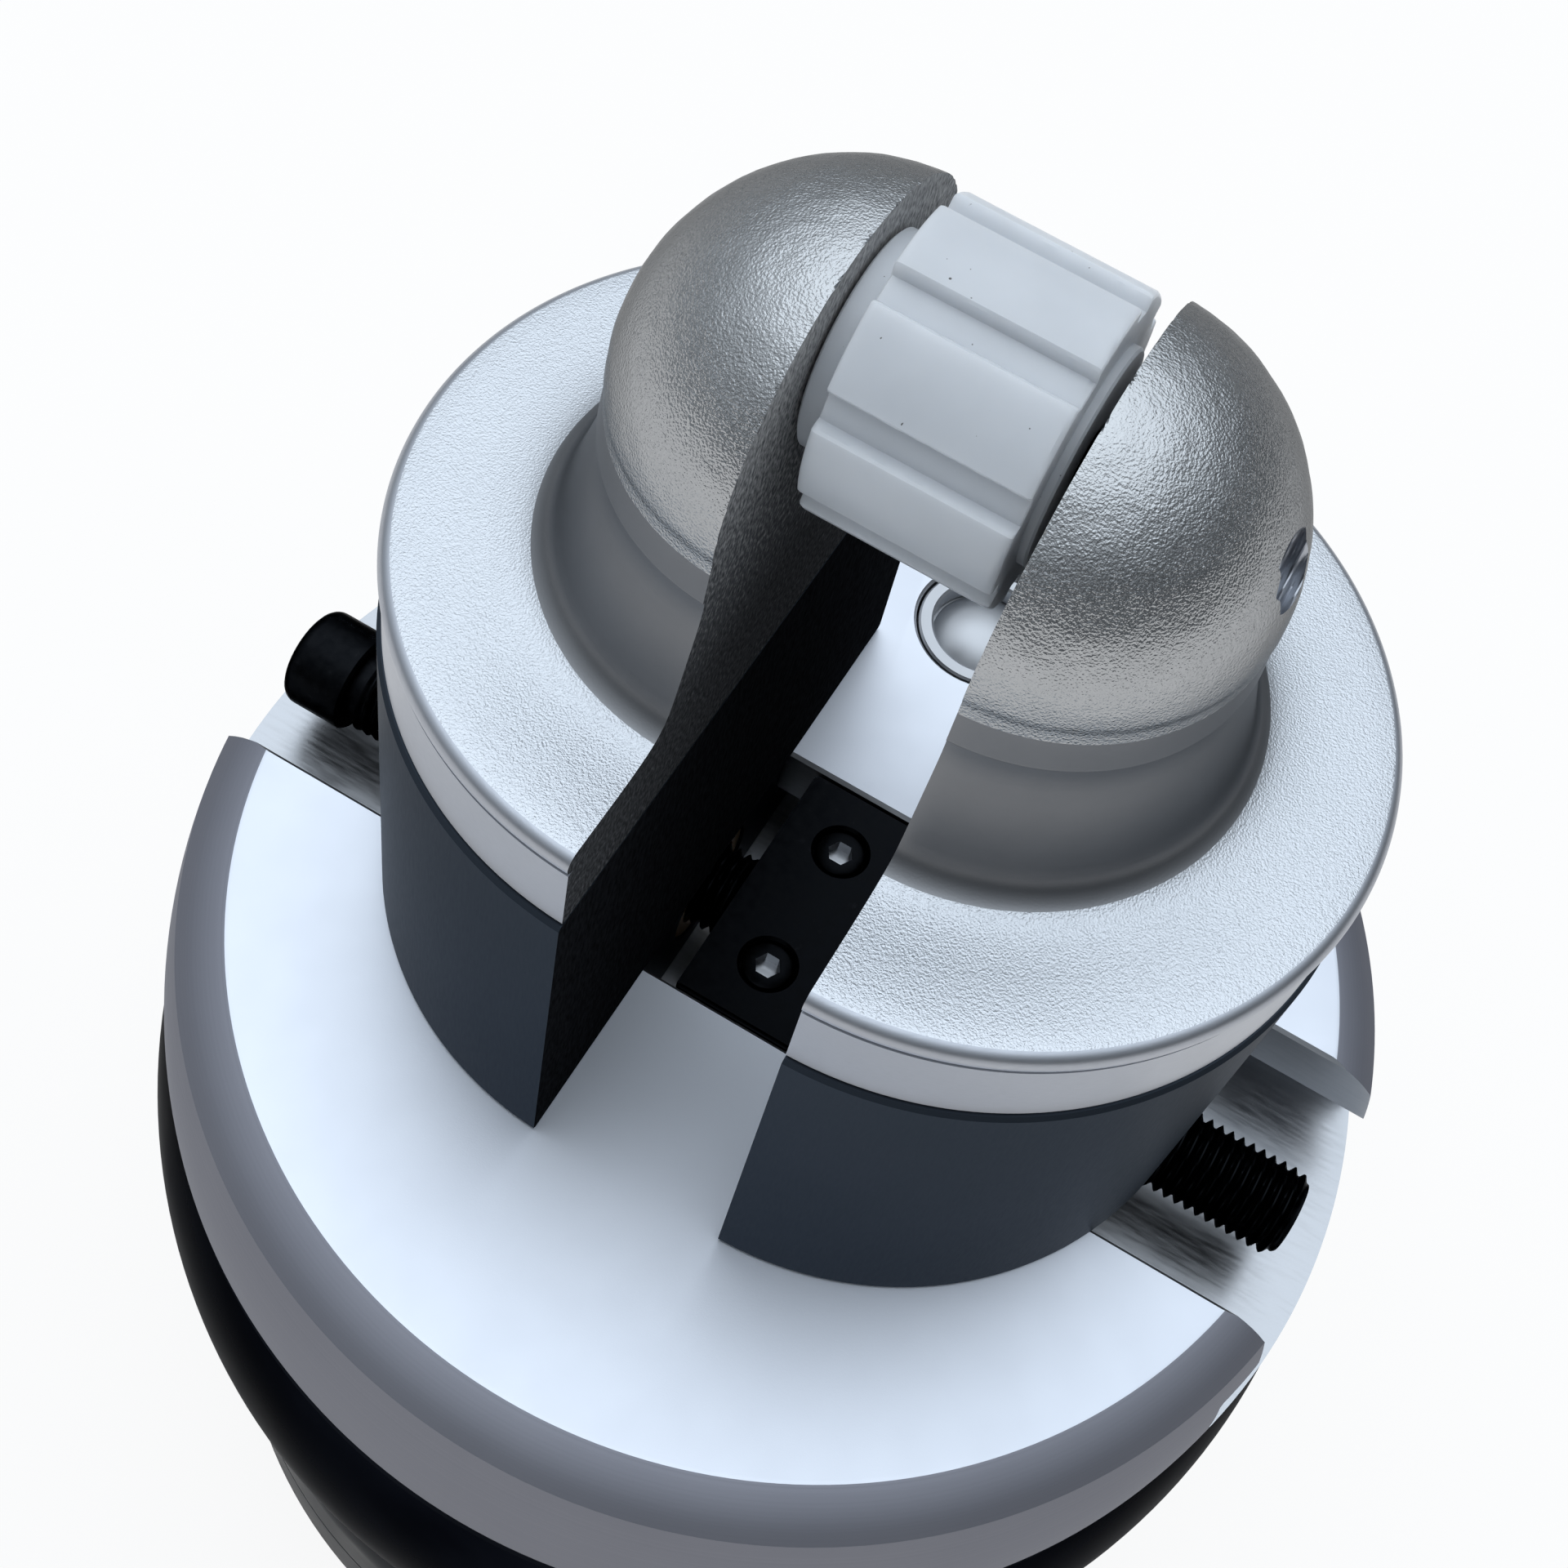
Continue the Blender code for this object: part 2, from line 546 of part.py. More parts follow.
finish_piece(yoke_cap, (0, 0, 0), table_body, "satin_steel")
head_foot = YOKE_SCREW_HEAD_TOP_Z - YOKE_SCREW_HEAD_HEIGHT
for piece in (yoke_base, yoke_cap):
    hole(piece, "journal", "X", (0, SCREW_Z), JOURNAL_R + GAP, -2 * YOKE_HALF, 2 * YOKE_HALF, MIDDLE_SIDES)
for label, y in (("near", -YOKE_SCREW_Y), ("far", YOKE_SCREW_Y)):
    hole(yoke_base, label, "Z", (0, y), YOKE_SCREW_R + GAP, YOKE_SCREW_TIP_Z - GAP, DECK_Z, TINY_SIDES)
    hole(yoke_cap, label, "Z", (0, y), YOKE_SCREW_R + GAP, SLOT_FLOOR_Z, DECK_Z + GAP, TINY_SIDES)
    hole(yoke_cap, label + "_head", "Z", (0, y), YOKE_SCREW_HEAD_R + GAP, head_foot - GAP, 2 * DECK_Z, SMALL_SIDES)
    shape = [(0, YOKE_SCREW_HEAD_TOP_Z), (YOKE_SCREW_HEAD_R, YOKE_SCREW_HEAD_TOP_Z), (YOKE_SCREW_HEAD_R, head_foot)]
    shape += [(YOKE_SCREW_R, head_foot), (YOKE_SCREW_R, YOKE_SCREW_TIP_Z), (0, YOKE_SCREW_TIP_Z)]
    yoke_screw = turned("yoke_screw_" + label, shape, TINY_SIDES, vise)
    finish_piece(yoke_screw, (0, y, 0), table_body, "bright_steel")
hole(yoke_base, "dowel", "Z", (0, 0), DOWEL_R + GAP, slide_floor - GAP, DOWEL_TOP_Z + GAP, TINY_SIDES)
dowel_profile = [(0, DOWEL_TOP_Z), (DOWEL_R, DOWEL_TOP_Z), (DOWEL_R, DOWEL_BOTTOM_Z), (0, DOWEL_BOTTOM_Z)]
yoke_dowel = turned("yoke_dowel", dowel_profile, TINY_SIDES, vise)
finish_piece(yoke_dowel, (0, 0, 0), table_body, "bright_steel")

# Profile of the split-ball head, down its outer side
head_profile = arc(
    HEAD_BALL_R, (0, HEAD_BALL_Z), pi / 2, asin((HEAD_BALL_END_Z - HEAD_BALL_Z) / HEAD_BALL_R), HEAD_BALL_ARCS
)
head_profile[0] = (0, HEAD_BALL_Z + HEAD_BALL_R)
head_profile += [COLLAR_TOP, COLLAR_FOOT, NECK_TOP] + NECK_SHAPE + [(FLANGE_FLAT_R, FLANGE_TOP)]
lip_centre = (LIP_OUT_R - LIP_R, FLANGE_TOP - LIP_R)
head_profile += arc(LIP_R, lip_centre, pi / 3, -pi / 3, LIP_ARCS)
head_profile += [(BAND_R, FLANGE_TOP - 2 * LIP_R), (BAND_R, BAND_FOOT), (0, BAND_FOOT)]

# Jaws with their nuts, head halves and pins, once for each side
half_angle = acos((CUT_X - JAW_AXIS_X) / JAW_R)
for side, word, body in ((-1, "left", left_body), (1, "right", right_body)):
    rim = arc(JAW_R, (JAW_AXIS_X, 0), -half_angle, half_angle, JAW_ARCS)
    plan = [(side * x, y) for x, y in rim]
    jaw = prism("jaw_" + word, plan, "Z", JAW_FOOT_Z, JAW_TOP_Z, vise)
    finish_piece(jaw, (0, 0, 0), body, "jaw_steel")
    slide_top = JAW_FOOT_Z + SLIDE_ROOT
    slide_outline = base_outline[:4] + [(neck, slide_top), (-neck, slide_top)] + base_outline[6:]
    low, high = sorted((side * SLIDE_START, side * SLIDE_END))
    combine(jaw, prism("slide_" + word, slide_outline, "X", low, high, cutters), "UNION")
    low, high = sorted((0, side * 2 * SLIDE_END))
    hole(jaw, "screw_bore", "X", (0, SCREW_Z), SCREW_R + BORE_CLEAR, low, high, MIDDLE_SIDES)
    nut_end = SLIDE_START + GAP + NUT_LENGTH
    low, high = sorted((0, side * (nut_end + GAP)))
    hole(jaw, "nut_bore", "X", (0, SCREW_Z), NUT_R + GAP, low, high, MIDDLE_SIDES)
    low, high = sorted((side * (SLIDE_START + GAP), side * nut_end))
    nut_profile = [(NUT_R, high), (NUT_R, low), (NUT_BORE_R, low), (NUT_BORE_R, high)]
    jaw_nut = turned("jaw_nut_" + word, nut_profile, MIDDLE_SIDES, vise, is_ring=True)
    jaw_nut.rotation_euler = (0, pi / 2, 0)
    finish_piece(jaw_nut, (0, 0, SCREW_Z), body, "bronze")
    head = turned("head_" + word, head_profile, BIG_SIDES, vise)
    finish_piece(head, (side * JAW_AXIS_X, 0, DECK_Z), body, "cast_aluminium")
    low, high = sorted((side * CUT_X, -side * JAW_R))
    saw = [(low, -2 * JAW_R), (high, -2 * JAW_R), (high, 2 * JAW_R), (low, 2 * JAW_R)]
    cut(head, prism("saw_" + word, saw, "Z", DECK_Z, 3 * DECK_Z, cutters))
    for label, y in (("near", -PIN_Y), ("far", PIN_Y)):
        centre = (side * PIN_X, y)
        pin_foot = JAW_TOP_Z - PIN_IN_JAW
        pin_top = DECK_Z + BAND_FOOT + PIN_IN_HEAD
        hole(jaw, label, "Z", centre, PIN_R + GAP, pin_foot - GAP, pin_top, SMALL_SIDES)
        hole(head, label, "Z", centre, PIN_R + GAP, pin_foot, pin_top + GAP, SMALL_SIDES)
        pin_profile = [(0, pin_top), (PIN_R, pin_top), (PIN_R, pin_foot), (0, pin_foot)]
        pin = turned("head_pin_" + word + "_" + label, pin_profile, SMALL_SIDES, vise)
        finish_piece(pin, (*centre, 0), body, "bright_steel")
    if side > 0:
        hole(head, "cross_hole", "X", (0, HEAD_AXIS_Z), HEAD_HOLE_R, 0, 2 * JAW_R, SMALL_SIDES)
    else:
        hole(head, "stud_hole", "X", (0, HEAD_AXIS_Z), STUD_R + GAP, -STUD_LEFT - GAP, 0, SMALL_SIDES)

# Stud in the left half of the head, reaching into the right half's hole
stud_profile = [(0, STUD_RIGHT), (STUD_R - STUD_EDGE, STUD_RIGHT), (STUD_R, STUD_RIGHT - STUD_EDGE)]
stud_profile += [(STUD_R, -STUD_LEFT), (0, -STUD_LEFT)]
spool_stud = turned("spool_stud", stud_profile, SMALL_SIDES, vise)
spool_stud.rotation_euler = (0, pi / 2, 0)
finish_piece(spool_stud, (0, 0, HEAD_AXIS_Z), left_body, "black_oxide")


# Nylon spool: rings of points along X, from the bore out over the pads and back to the bore
def spool_ring(x, pad_radius, groove_radius):
    ring = []
    for pad in range(SPOOL_PADS):
        middle = 2 * pi * pad / SPOOL_PADS
        inner = SPOOL_PAD_HALF_ANGLE - SPOOL_PAD_EDGE_ANGLE
        for offset, radius in (
            (-SPOOL_PAD_HALF_ANGLE, groove_radius),
            (-inner, pad_radius),
            (0, pad_radius),
            (inner, pad_radius),
            (SPOOL_PAD_HALF_ANGLE, groove_radius),
        ):
            angle = middle + offset
            ring.append((x, radius * cos(angle), radius * sin(angle)))
    return ring


spool_rings = [
    spool_ring(-SPOOL_LEFT, STUD_R + GAP, STUD_R + GAP),
    spool_ring(-SPOOL_LEFT, SPOOL_CORE_R, SPOOL_CORE_R),
    spool_ring(-SPOOL_PAD_LEFT, SPOOL_CORE_R, SPOOL_CORE_R),
    spool_ring(-SPOOL_PAD_LEFT, SPOOL_R - SPOOL_PAD_EDGE, SPOOL_GROOVE_R),
    spool_ring(-SPOOL_PAD_LEFT + SPOOL_PAD_EDGE, SPOOL_R, SPOOL_GROOVE_R),
    spool_ring(SPOOL_PAD_RIGHT - SPOOL_PAD_EDGE, SPOOL_R, SPOOL_GROOVE_R),
    spool_ring(SPOOL_PAD_RIGHT, SPOOL_R - SPOOL_PAD_EDGE, SPOOL_GROOVE_R),
    spool_ring(SPOOL_PAD_RIGHT, SPOOL_CORE_R, SPOOL_CORE_R),
    spool_ring(SPOOL_RIGHT, SPOOL_CORE_R, SPOOL_CORE_R),
    spool_ring(SPOOL_RIGHT, STUD_R + GAP, STUD_R + GAP),
]
around = len(spool_rings[0])
spool_points = [point for ring in spool_rings for point in ring]
spool_faces = []
for row in range(len(spool_rings)):
    next_row = (row + 1) % len(spool_rings)
    for column in range(around):
        next_column = (column + 1) % around
        spool_faces.append(
            [
                row * around + column,
                row * around + next_column,
                next_row * around + next_column,
                next_row * around + column,
            ]
        )
nylon_spool = solid("nylon_spool", spool_points, spool_faces, vise)
finish_piece(nylon_spool, (0, 0, HEAD_AXIS_Z), spool_body, "nylon")

# Lock ring, button and spring
ring_profile = [(LOCK_RING_R, LOCK_RING_TOP_Z), (LOCK_RING_R, LOCK_RING_FOOT_Z)]
ring_profile += [(LOCK_RING_BORE_R, LOCK_RING_FOOT_Z), (LOCK_RING_BORE_R, LOCK_RING_TOP_Z)]
lock_ring = turned("lock_ring", ring_profile, MIDDLE_SIDES, vise, is_ring=True)
finish_piece(lock_ring, (0, LOCK_Y, 0), table_body, "satin_steel")
dome_r = (BUTTON_R**2 + BUTTON_DOME**2) / (2 * BUTTON_DOME)
dome_centre = (0, BUTTON_TOP_Z - dome_r)
button_profile = arc(dome_r, dome_centre, pi / 2, acos(BUTTON_R / dome_r), BUTTON_DOME_ARCS)
button_profile[0] = (0, BUTTON_TOP_Z)
button_profile += [(BUTTON_R, BUTTON_SHOULDER_Z), (BUTTON_SHOULDER_R, BUTTON_SHOULDER_Z)]
button_profile += [(BUTTON_SHOULDER_R, BUTTON_FOOT_Z), (LOCK_PIN_R, BUTTON_FOOT_Z)]
button_profile += [(LOCK_PIN_R, LOCK_PIN_TIP_Z + LOCK_PIN_EDGE), (LOCK_PIN_R - LOCK_PIN_EDGE, LOCK_PIN_TIP_Z)]
button_profile += [(0, LOCK_PIN_TIP_Z)]
button_profile = [(radius, height - BUTTON_TOP_Z) for radius, height in button_profile]
lock_button = turned("lock_button", button_profile, MIDDLE_SIDES, vise)
finish_piece(lock_button, (0, LOCK_Y, BUTTON_TOP_Z), button_body, "satin_steel")
spring_low = LOCK_BORE_FLOOR_Z + GAP + SPRING_WIRE_R
spring_high = BUTTON_FOOT_Z - GAP - SPRING_WIRE_R
coil = bpy.data.curves.new("lock_spring", "CURVE")
coil.dimensions = "3D"
coil.bevel_depth = SPRING_WIRE_R * MM
coil.bevel_resolution = 1
coil.use_fill_caps = True
line = coil.splines.new("POLY")
total = SPRING_TURNS * SPRING_TURN_POINTS
line.points.add(total)
path = []
for index in range(total + 1):
    angle = 2 * pi * index / SPRING_TURN_POINTS
    height = spring_low + (spring_high - spring_low) * index / total
    path.append((SPRING_R * cos(angle), SPRING_R * sin(angle), height))
    line.points[index].co = (*(Vector(path[-1]) * MM), 1)
lock_spring = as_object("lock_spring", coil, vise)
finish_piece(lock_spring, (0, LOCK_Y, 0), table_body, "spring_steel")
coil_gap = min(
    sqrt(sum((a - b) ** 2 for a, b in zip(path[index], path[index + SPRING_TURN_POINTS])))
    for index in range(total + 1 - SPRING_TURN_POINTS)
)
print("lock_spring least gap between turns:", round(coil_gap - 2 * SPRING_WIRE_R, 2), "mm")

bpy.context.view_layer.update()
for obj in vise.objects:
    if obj.type == "MESH":
        smooth(obj)
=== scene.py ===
from math import acos, asin, cos, pi, radians, sin, sqrt

import bmesh
import bpy
from mathutils import Matrix, Vector, noise


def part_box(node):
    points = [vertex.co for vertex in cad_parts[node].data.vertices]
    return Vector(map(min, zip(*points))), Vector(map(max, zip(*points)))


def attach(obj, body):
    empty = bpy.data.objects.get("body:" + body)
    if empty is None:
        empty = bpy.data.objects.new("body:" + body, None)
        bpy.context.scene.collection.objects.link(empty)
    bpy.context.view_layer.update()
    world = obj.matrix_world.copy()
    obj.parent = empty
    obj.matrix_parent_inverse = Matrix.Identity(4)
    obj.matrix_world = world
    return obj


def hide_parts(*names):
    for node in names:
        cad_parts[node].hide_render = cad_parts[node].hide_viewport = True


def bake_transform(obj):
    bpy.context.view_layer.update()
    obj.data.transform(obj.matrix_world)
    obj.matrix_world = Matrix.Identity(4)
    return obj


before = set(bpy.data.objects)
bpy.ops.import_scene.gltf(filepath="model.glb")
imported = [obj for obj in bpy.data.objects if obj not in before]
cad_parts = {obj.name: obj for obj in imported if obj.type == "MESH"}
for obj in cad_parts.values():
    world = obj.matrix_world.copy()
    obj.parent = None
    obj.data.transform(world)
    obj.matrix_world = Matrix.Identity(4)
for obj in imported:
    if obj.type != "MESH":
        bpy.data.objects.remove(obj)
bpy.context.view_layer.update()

# ---------------------------------------------------------------------------
# Studio: a wide pale floor under a plain sky that is brightest overhead, so
# that turned metal has something soft to reflect. It is not part of the vise.
MM = 0.001
most_finishes = 5
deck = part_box("turntable")[1].z / MM


def solid_of(name, shell, angle=30):
    """Closes the shell into an object, with its curves smooth and its edges crisp."""
    bmesh.ops.recalc_face_normals(shell, faces=shell.faces)
    mesh = bpy.data.meshes.new(name)
    shell.to_mesh(mesh)
    shell.free()
    mesh.shade_smooth()
    mesh.set_sharp_from_angle(angle=radians(angle))
    for _ in range(most_finishes):
        mesh.materials.append(None)
    piece = bpy.data.objects.new(name, mesh)
    bpy.context.scene.collection.objects.link(piece)
    return piece


def turned(name, profile, steps=144, along="Z", centre=(0, 0, 0)):
    """Turns a profile of (radius, height) points, in millimetres.

    A third number is the finish of what follows that point. The profile is a
    ring when it ends where it starts.
    """
    shell = bmesh.new()
    is_ring = profile[0][:2] == profile[-1][:2]
    points = profile[:-1] if is_ring else profile
    rings = []
    for point in points:
        radius, height = point[0], point[1]
        ring = []
        for step in range(1 if radius < 1e-6 else steps):
            turn = 2 * pi * step / steps
            across = (radius * cos(turn), radius * sin(turn))
            place = (*across, height) if along == "Z" else (height, *across)
            ring.append(shell.verts.new((Vector(place) + Vector(centre)) * MM))
        rings.append(ring)
    finish = 0
    for index in range(len(points) if is_ring else len(points) - 1):
        here, there = rings[index], rings[(index + 1) % len(points)]
        if len(points[index]) > 2:
            finish = points[index][2]
        for step in range(steps):
            after = (step + 1) % steps
            corners = [here[step % len(here)], here[after % len(here)]]
            corners += [there[after % len(there)], there[step % len(there)]]
            unique = list(dict.fromkeys(corners))
            if len(unique) > 2:
                shell.faces.new(unique).material_index = finish
    return solid_of(name, shell)


def finished(piece, *materials):
    """Gives a piece its finishes in the order of its finish numbers."""
    for index, material in enumerate(materials):
        piece.data.materials[index] = material
    while len(piece.data.materials) > len(materials):
        piece.data.materials.pop()


def new_finish(name, colour, metallic, roughness, edge=1.0):
    """A material with its node tree and shader. Edge is how bright it stays at a glancing angle."""
    material = bpy.data.materials.new(name)
    material.use_nodes = True
    material.diffuse_color = (*colour, 1)
    tree = material.node_tree
    shader = tree.nodes["Principled BSDF"]
    shader.inputs["Base Color"].default_value = (*colour, 1)
    shader.inputs["Metallic"].default_value = metallic
    shader.inputs["Roughness"].default_value = roughness
    shader.inputs["Specular Tint"].default_value = (edge, edge, edge, 1)
    return material, tree, shader


def grain(tree, size, detail=2.0, stretch=(1, 1, 1), place=None):
    """Noise with grains of about that size in millimetres, in the piece's own space."""
    if place is None:
        place = tree.nodes.new("ShaderNodeTexCoord").outputs["Object"]
    mapping = tree.nodes.new("ShaderNodeMapping")
    mapping.inputs["Scale"].default_value = stretch
    tree.links.new(place, mapping.inputs["Vector"])
    cloud = tree.nodes.new("ShaderNodeTexNoise")
    cloud.inputs["Scale"].default_value = 1 / (size * MM)
    cloud.inputs["Detail"].default_value = detail
    tree.links.new(mapping.outputs["Vector"], cloud.inputs["Vector"])
    return cloud.outputs["Fac"]


def tinted(tree, shader, factor, stops):
    """Colours the surface by a factor: stops are (place, colour)."""
    ramp = tree.nodes.new("ShaderNodeValToRGB")
    ramp.color_ramp.elements[0].position = stops[0][0]
    ramp.color_ramp.elements[0].color = (*stops[0][1], 1)
    ramp.color_ramp.elements[1].position = stops[-1][0]
    ramp.color_ramp.elements[1].color = (*stops[-1][1], 1)
    for position, colour in stops[1:-1]:
        ramp.color_ramp.elements.new(position).color = (*colour, 1)
    tree.links.new(factor, ramp.inputs["Fac"])
    if shader is not None:
        tree.links.new(ramp.outputs["Color"], shader.inputs["Base Color"])
    return ramp.outputs["Color"]


def ranged(tree, factor, low, high, socket=None, start=0.3, end=0.7):
    """Spreads a factor from low to high, into a socket if one is given."""
    spread = tree.nodes.new("ShaderNodeMapRange")
    spread.inputs["From Min"].default_value = start
    spread.inputs["From Max"].default_value = end
    spread.inputs["To Min"].default_value = low
    spread.inputs["To Max"].default_value = high
    tree.links.new(factor, spread.inputs["Value"])
    if socket is not None:
        tree.links.new(spread.outputs["Result"], socket)
    return spread.outputs["Result"]


def relief(tree, shader, *layers):
    """Bumps the surface with layers of (height, strength, depth in millimetres)."""
    before = None
    for height, strength, depth in layers:
        bump = tree.nodes.new("ShaderNodeBump")
        bump.inputs["Strength"].default_value = strength
        bump.inputs["Distance"].default_value = depth * MM
        tree.links.new(height, bump.inputs["Height"])
        if before is not None:
            tree.links.new(before, bump.inputs["Normal"])
        before = bump.outputs["Normal"]
    tree.links.new(before, shader.inputs["Normal"])


floor_r = 6000
floor_white = 0.88
floor = turned("studio_floor", [(0, 0), (300, 0), (900, 0), (floor_r, 0)], 96)
floor_paint, tree, shader = new_finish("pale_studio_floor", (0.9, 0.9, 0.9), 0.0, 0.8)
tinted(tree, shader, grain(tree, 60.0), [(0.3, (0.89, 0.89, 0.89)), (0.7, (0.91, 0.91, 0.91))])
relief(tree, shader, (grain(tree, 3.0), 0.05, 0.05))
seen_by = tree.nodes.new("ShaderNodeLightPath")
glow = tree.nodes.new("ShaderNodeEmission")
blend = tree.nodes.new("ShaderNodeMixShader")
share = tree.nodes.new("ShaderNodeMath")
share.operation = "MAXIMUM"
shown = tree.nodes.new("ShaderNodeMath")
shown.operation = "MAXIMUM"
part = tree.nodes.new("ShaderNodeMath")
part.operation = "MULTIPLY"
part.inputs[1].default_value = floor_white
tree.links.new(seen_by.outputs["Is Camera Ray"], share.inputs[0])
tree.links.new(seen_by.outputs["Is Glossy Ray"], share.inputs[1])
tree.links.new(share.outputs["Value"], shown.inputs[0])
tree.links.new(seen_by.outputs["Is Transmission Ray"], shown.inputs[1])
tree.links.new(shown.outputs["Value"], part.inputs[0])
tree.links.new(part.outputs["Value"], blend.inputs["Fac"])
tree.links.new(shader.outputs["BSDF"], blend.inputs[1])
tree.links.new(glow.outputs["Emission"], blend.inputs[2])
tree.links.new(blend.outputs["Shader"], tree.nodes["Material Output"].inputs["Surface"])
finished(floor, floor_paint)

sky = bpy.data.worlds.new("studio_light")
bpy.context.scene.world = sky
sky.use_nodes = True
tree = sky.node_tree
way = tree.nodes.new("ShaderNodeTexCoord")
towards = tree.nodes.new("ShaderNodeVectorMath")
towards.operation = "DOT_PRODUCT"
brightest_way = (-0.24, 0.1, 0.965)
towards.inputs[1].default_value = brightest_way
tree.links.new(way.outputs["Generated"], towards.inputs[0])
height = ranged(tree, towards.outputs["Value"], 0, 1, start=-1, end=1)
steps = [(0.0, 0.12), (0.5, 0.12), (0.69, 0.34), (0.75, 0.5), (0.85, 0.78), (0.925, 0.93), (0.98, 1.1)]
glow = tinted(tree, None, height, [(at, (0.86 * level, 0.93 * level, level)) for at, level in steps])
tree.links.new(glow, tree.nodes["Background"].inputs["Color"])


def soft_lamp(name, azimuth, elevation, strength, spread, colour):
    """A broad, distant studio lamp. Azimuth 0 stands at -Y and 90 at +X."""
    light = bpy.data.lights.new(name, "SUN")
    light.energy = strength
    light.angle = radians(spread)
    light.color = colour
    lamp = bpy.data.objects.new(name, light)
    a, e = radians(azimuth), radians(elevation)
    aim = Vector((sin(a) * cos(e), -cos(a) * cos(e), sin(e)))
    lamp.rotation_euler = aim.to_track_quat("Z", "Y").to_euler()
    bpy.context.scene.collection.objects.link(lamp)


soft_lamp("window_above", 190, 79, 1.1, 78, (0.84, 0.92, 1.0))

bpy.context.scene.view_settings.view_transform = "Standard"
camera = bpy.data.objects.new("camera", bpy.data.cameras.new("camera"))
bpy.context.scene.collection.objects.link(camera)
bpy.context.scene.camera = camera
right = Vector((0.86658, 0.46539, 0.18011))
down = Vector((0.48429, -0.69724, -0.52851))
ahead = right.cross(down).normalized()
stands = Vector((24.275, -106.632, deck + 203.932))
facing = Matrix((right, -down, -ahead)).transposed()
camera.matrix_world = Matrix.Translation(stands * MM) @ facing.to_4x4()
camera.data.sensor_width = 36
camera.data.lens = 49.59
camera.data.shift_x = -0.0625
camera.data.shift_y = -0.0521
camera.data.clip_start = 0.01
camera.data.clip_end = 20

# ---------------------------------------------------------------------------
# Ring pad: a heavy ring of moulded black rubber that stands on the bench. Its
# dished seat holds the ball, which is only laid in it.


def bow(radius, middle, start, end, steps):
    """Points on an arc about middle, from start to end in degrees."""
    angles = [radians(start + (end - start) * step / steps) for step in range(steps + 1)]
    return [(middle[0] + radius * cos(a), middle[1] + radius * sin(a)) for a in angles]


pad_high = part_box("ring_pad")[1]
pad_r = pad_high.x / MM
pad_height = pad_high.z / MM
ball_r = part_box("lower_ball")[1].x / MM
ball_z = ball_r + 3.0
pad_bore = ball_r * 0.46
foot_round, rim_round = 1.5, 3.0
groove_z, groove_half, groove_in = pad_height / 2, 0.5, 0.25
seat = ball_r + 0.35
seat_low = -acos(pad_bore / seat) * 180 / pi
seat_high = -asin((ball_z - pad_height) / seat) * 180 / pi
pad_profile = [(pad_bore, 0.6), (pad_bore + 0.6, 0), (pad_r - foot_round, 0)]
pad_profile += bow(foot_round, (pad_r - foot_round, foot_round), -90, 0, 5)[1:]
pad_profile += [(pad_r, groove_z - groove_half), (pad_r - groove_in, groove_z - groove_half / 2)]
pad_profile += [(pad_r - groove_in, groove_z + groove_half / 2), (pad_r, groove_z + groove_half)]
pad_profile += bow(rim_round, (pad_r - rim_round, pad_height - rim_round), 0, 90, 10)
pad_profile += bow(seat, (0, ball_z), seat_high, seat_low, 24)
pad_profile += [pad_profile[0]]
pad = turned("rubber_ring_pad", pad_profile, 180)
rubber, tree, shader = new_finish("moulded_black_rubber", (0.024, 0.024, 0.025), 0.0, 0.72)
cloudy = grain(tree, 9.0, 4)
tinted(tree, shader, cloudy, [(0.35, (0.018, 0.018, 0.019)), (0.7, (0.034, 0.034, 0.036))])
ranged(tree, cloudy, 0.62, 0.8, shader.inputs["Roughness"])
relief(tree, shader, (grain(tree, 0.5, 3), 0.35, 0.04), (grain(tree, 4.0, 2), 0.2, 0.06))
finished(pad, rubber)
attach(pad, "pad")
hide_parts("ring_pad")

# ---------------------------------------------------------------------------
# Lower ball: turned from solid steel and blacked. A recess in its flat top
# holds the thrust bearing, twelve blind holes take the lock pin, and a
# counterbore below takes the bolt.
ball_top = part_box("lower_ball")[1].z / MM
pin_circle = 44.0


def reshaped(piece, tool, operation="DIFFERENCE"):
    """Cuts a tool from a piece, or joins it on, and takes the tool away."""
    change = piece.modifiers.new("reshape", "BOOLEAN")
    change.operation = operation
    change.solver = "EXACT"
    change.object = tool
    graph = bpy.context.evaluated_depsgraph_get()
    mesh = bpy.data.meshes.new_from_object(piece.evaluated_get(graph))
    piece.modifiers.clear()
    piece.data = mesh
    bpy.data.objects.remove(tool)
    mesh.shade_smooth()
    mesh.set_sharp_from_angle(angle=radians(30))
    return piece


def joined(tools):
    """Several tools that don't touch as one."""
    shell = bmesh.new()
    for tool in tools:
        shell.from_mesh(tool.data)
        bpy.data.objects.remove(tool)
    return solid_of("tool", shell)


def from_axis(tree, centre=(0, 0)):
    """The place as (distance from the upright axis, 0, height), for marks round a turned face."""
    place = tree.nodes.new("ShaderNodeTexCoord").outputs["Object"]
    apart = tree.nodes.new("ShaderNodeSeparateXYZ")
    tree.links.new(place, apart.inputs["Vector"])
    flat = tree.nodes.new("ShaderNodeCombineXYZ")
    for axis, middle in zip("XY", centre):
        moved = tree.nodes.new("ShaderNodeMath")
        moved.operation = "SUBTRACT"
        moved.inputs[1].default_value = middle * MM
        tree.links.new(apart.outputs[axis], moved.inputs[0])
        tree.links.new(moved.outputs["Value"], flat.inputs[axis])
    length = tree.nodes.new("ShaderNodeVectorMath")
    length.operation = "LENGTH"
    tree.links.new(flat.outputs["Vector"], length.inputs[0])
    place = tree.nodes.new("ShaderNodeCombineXYZ")
    tree.links.new(length.outputs["Value"], place.inputs["X"])
    tree.links.new(apart.outputs["Z"], place.inputs["Z"])
    return place.outputs["Vector"]


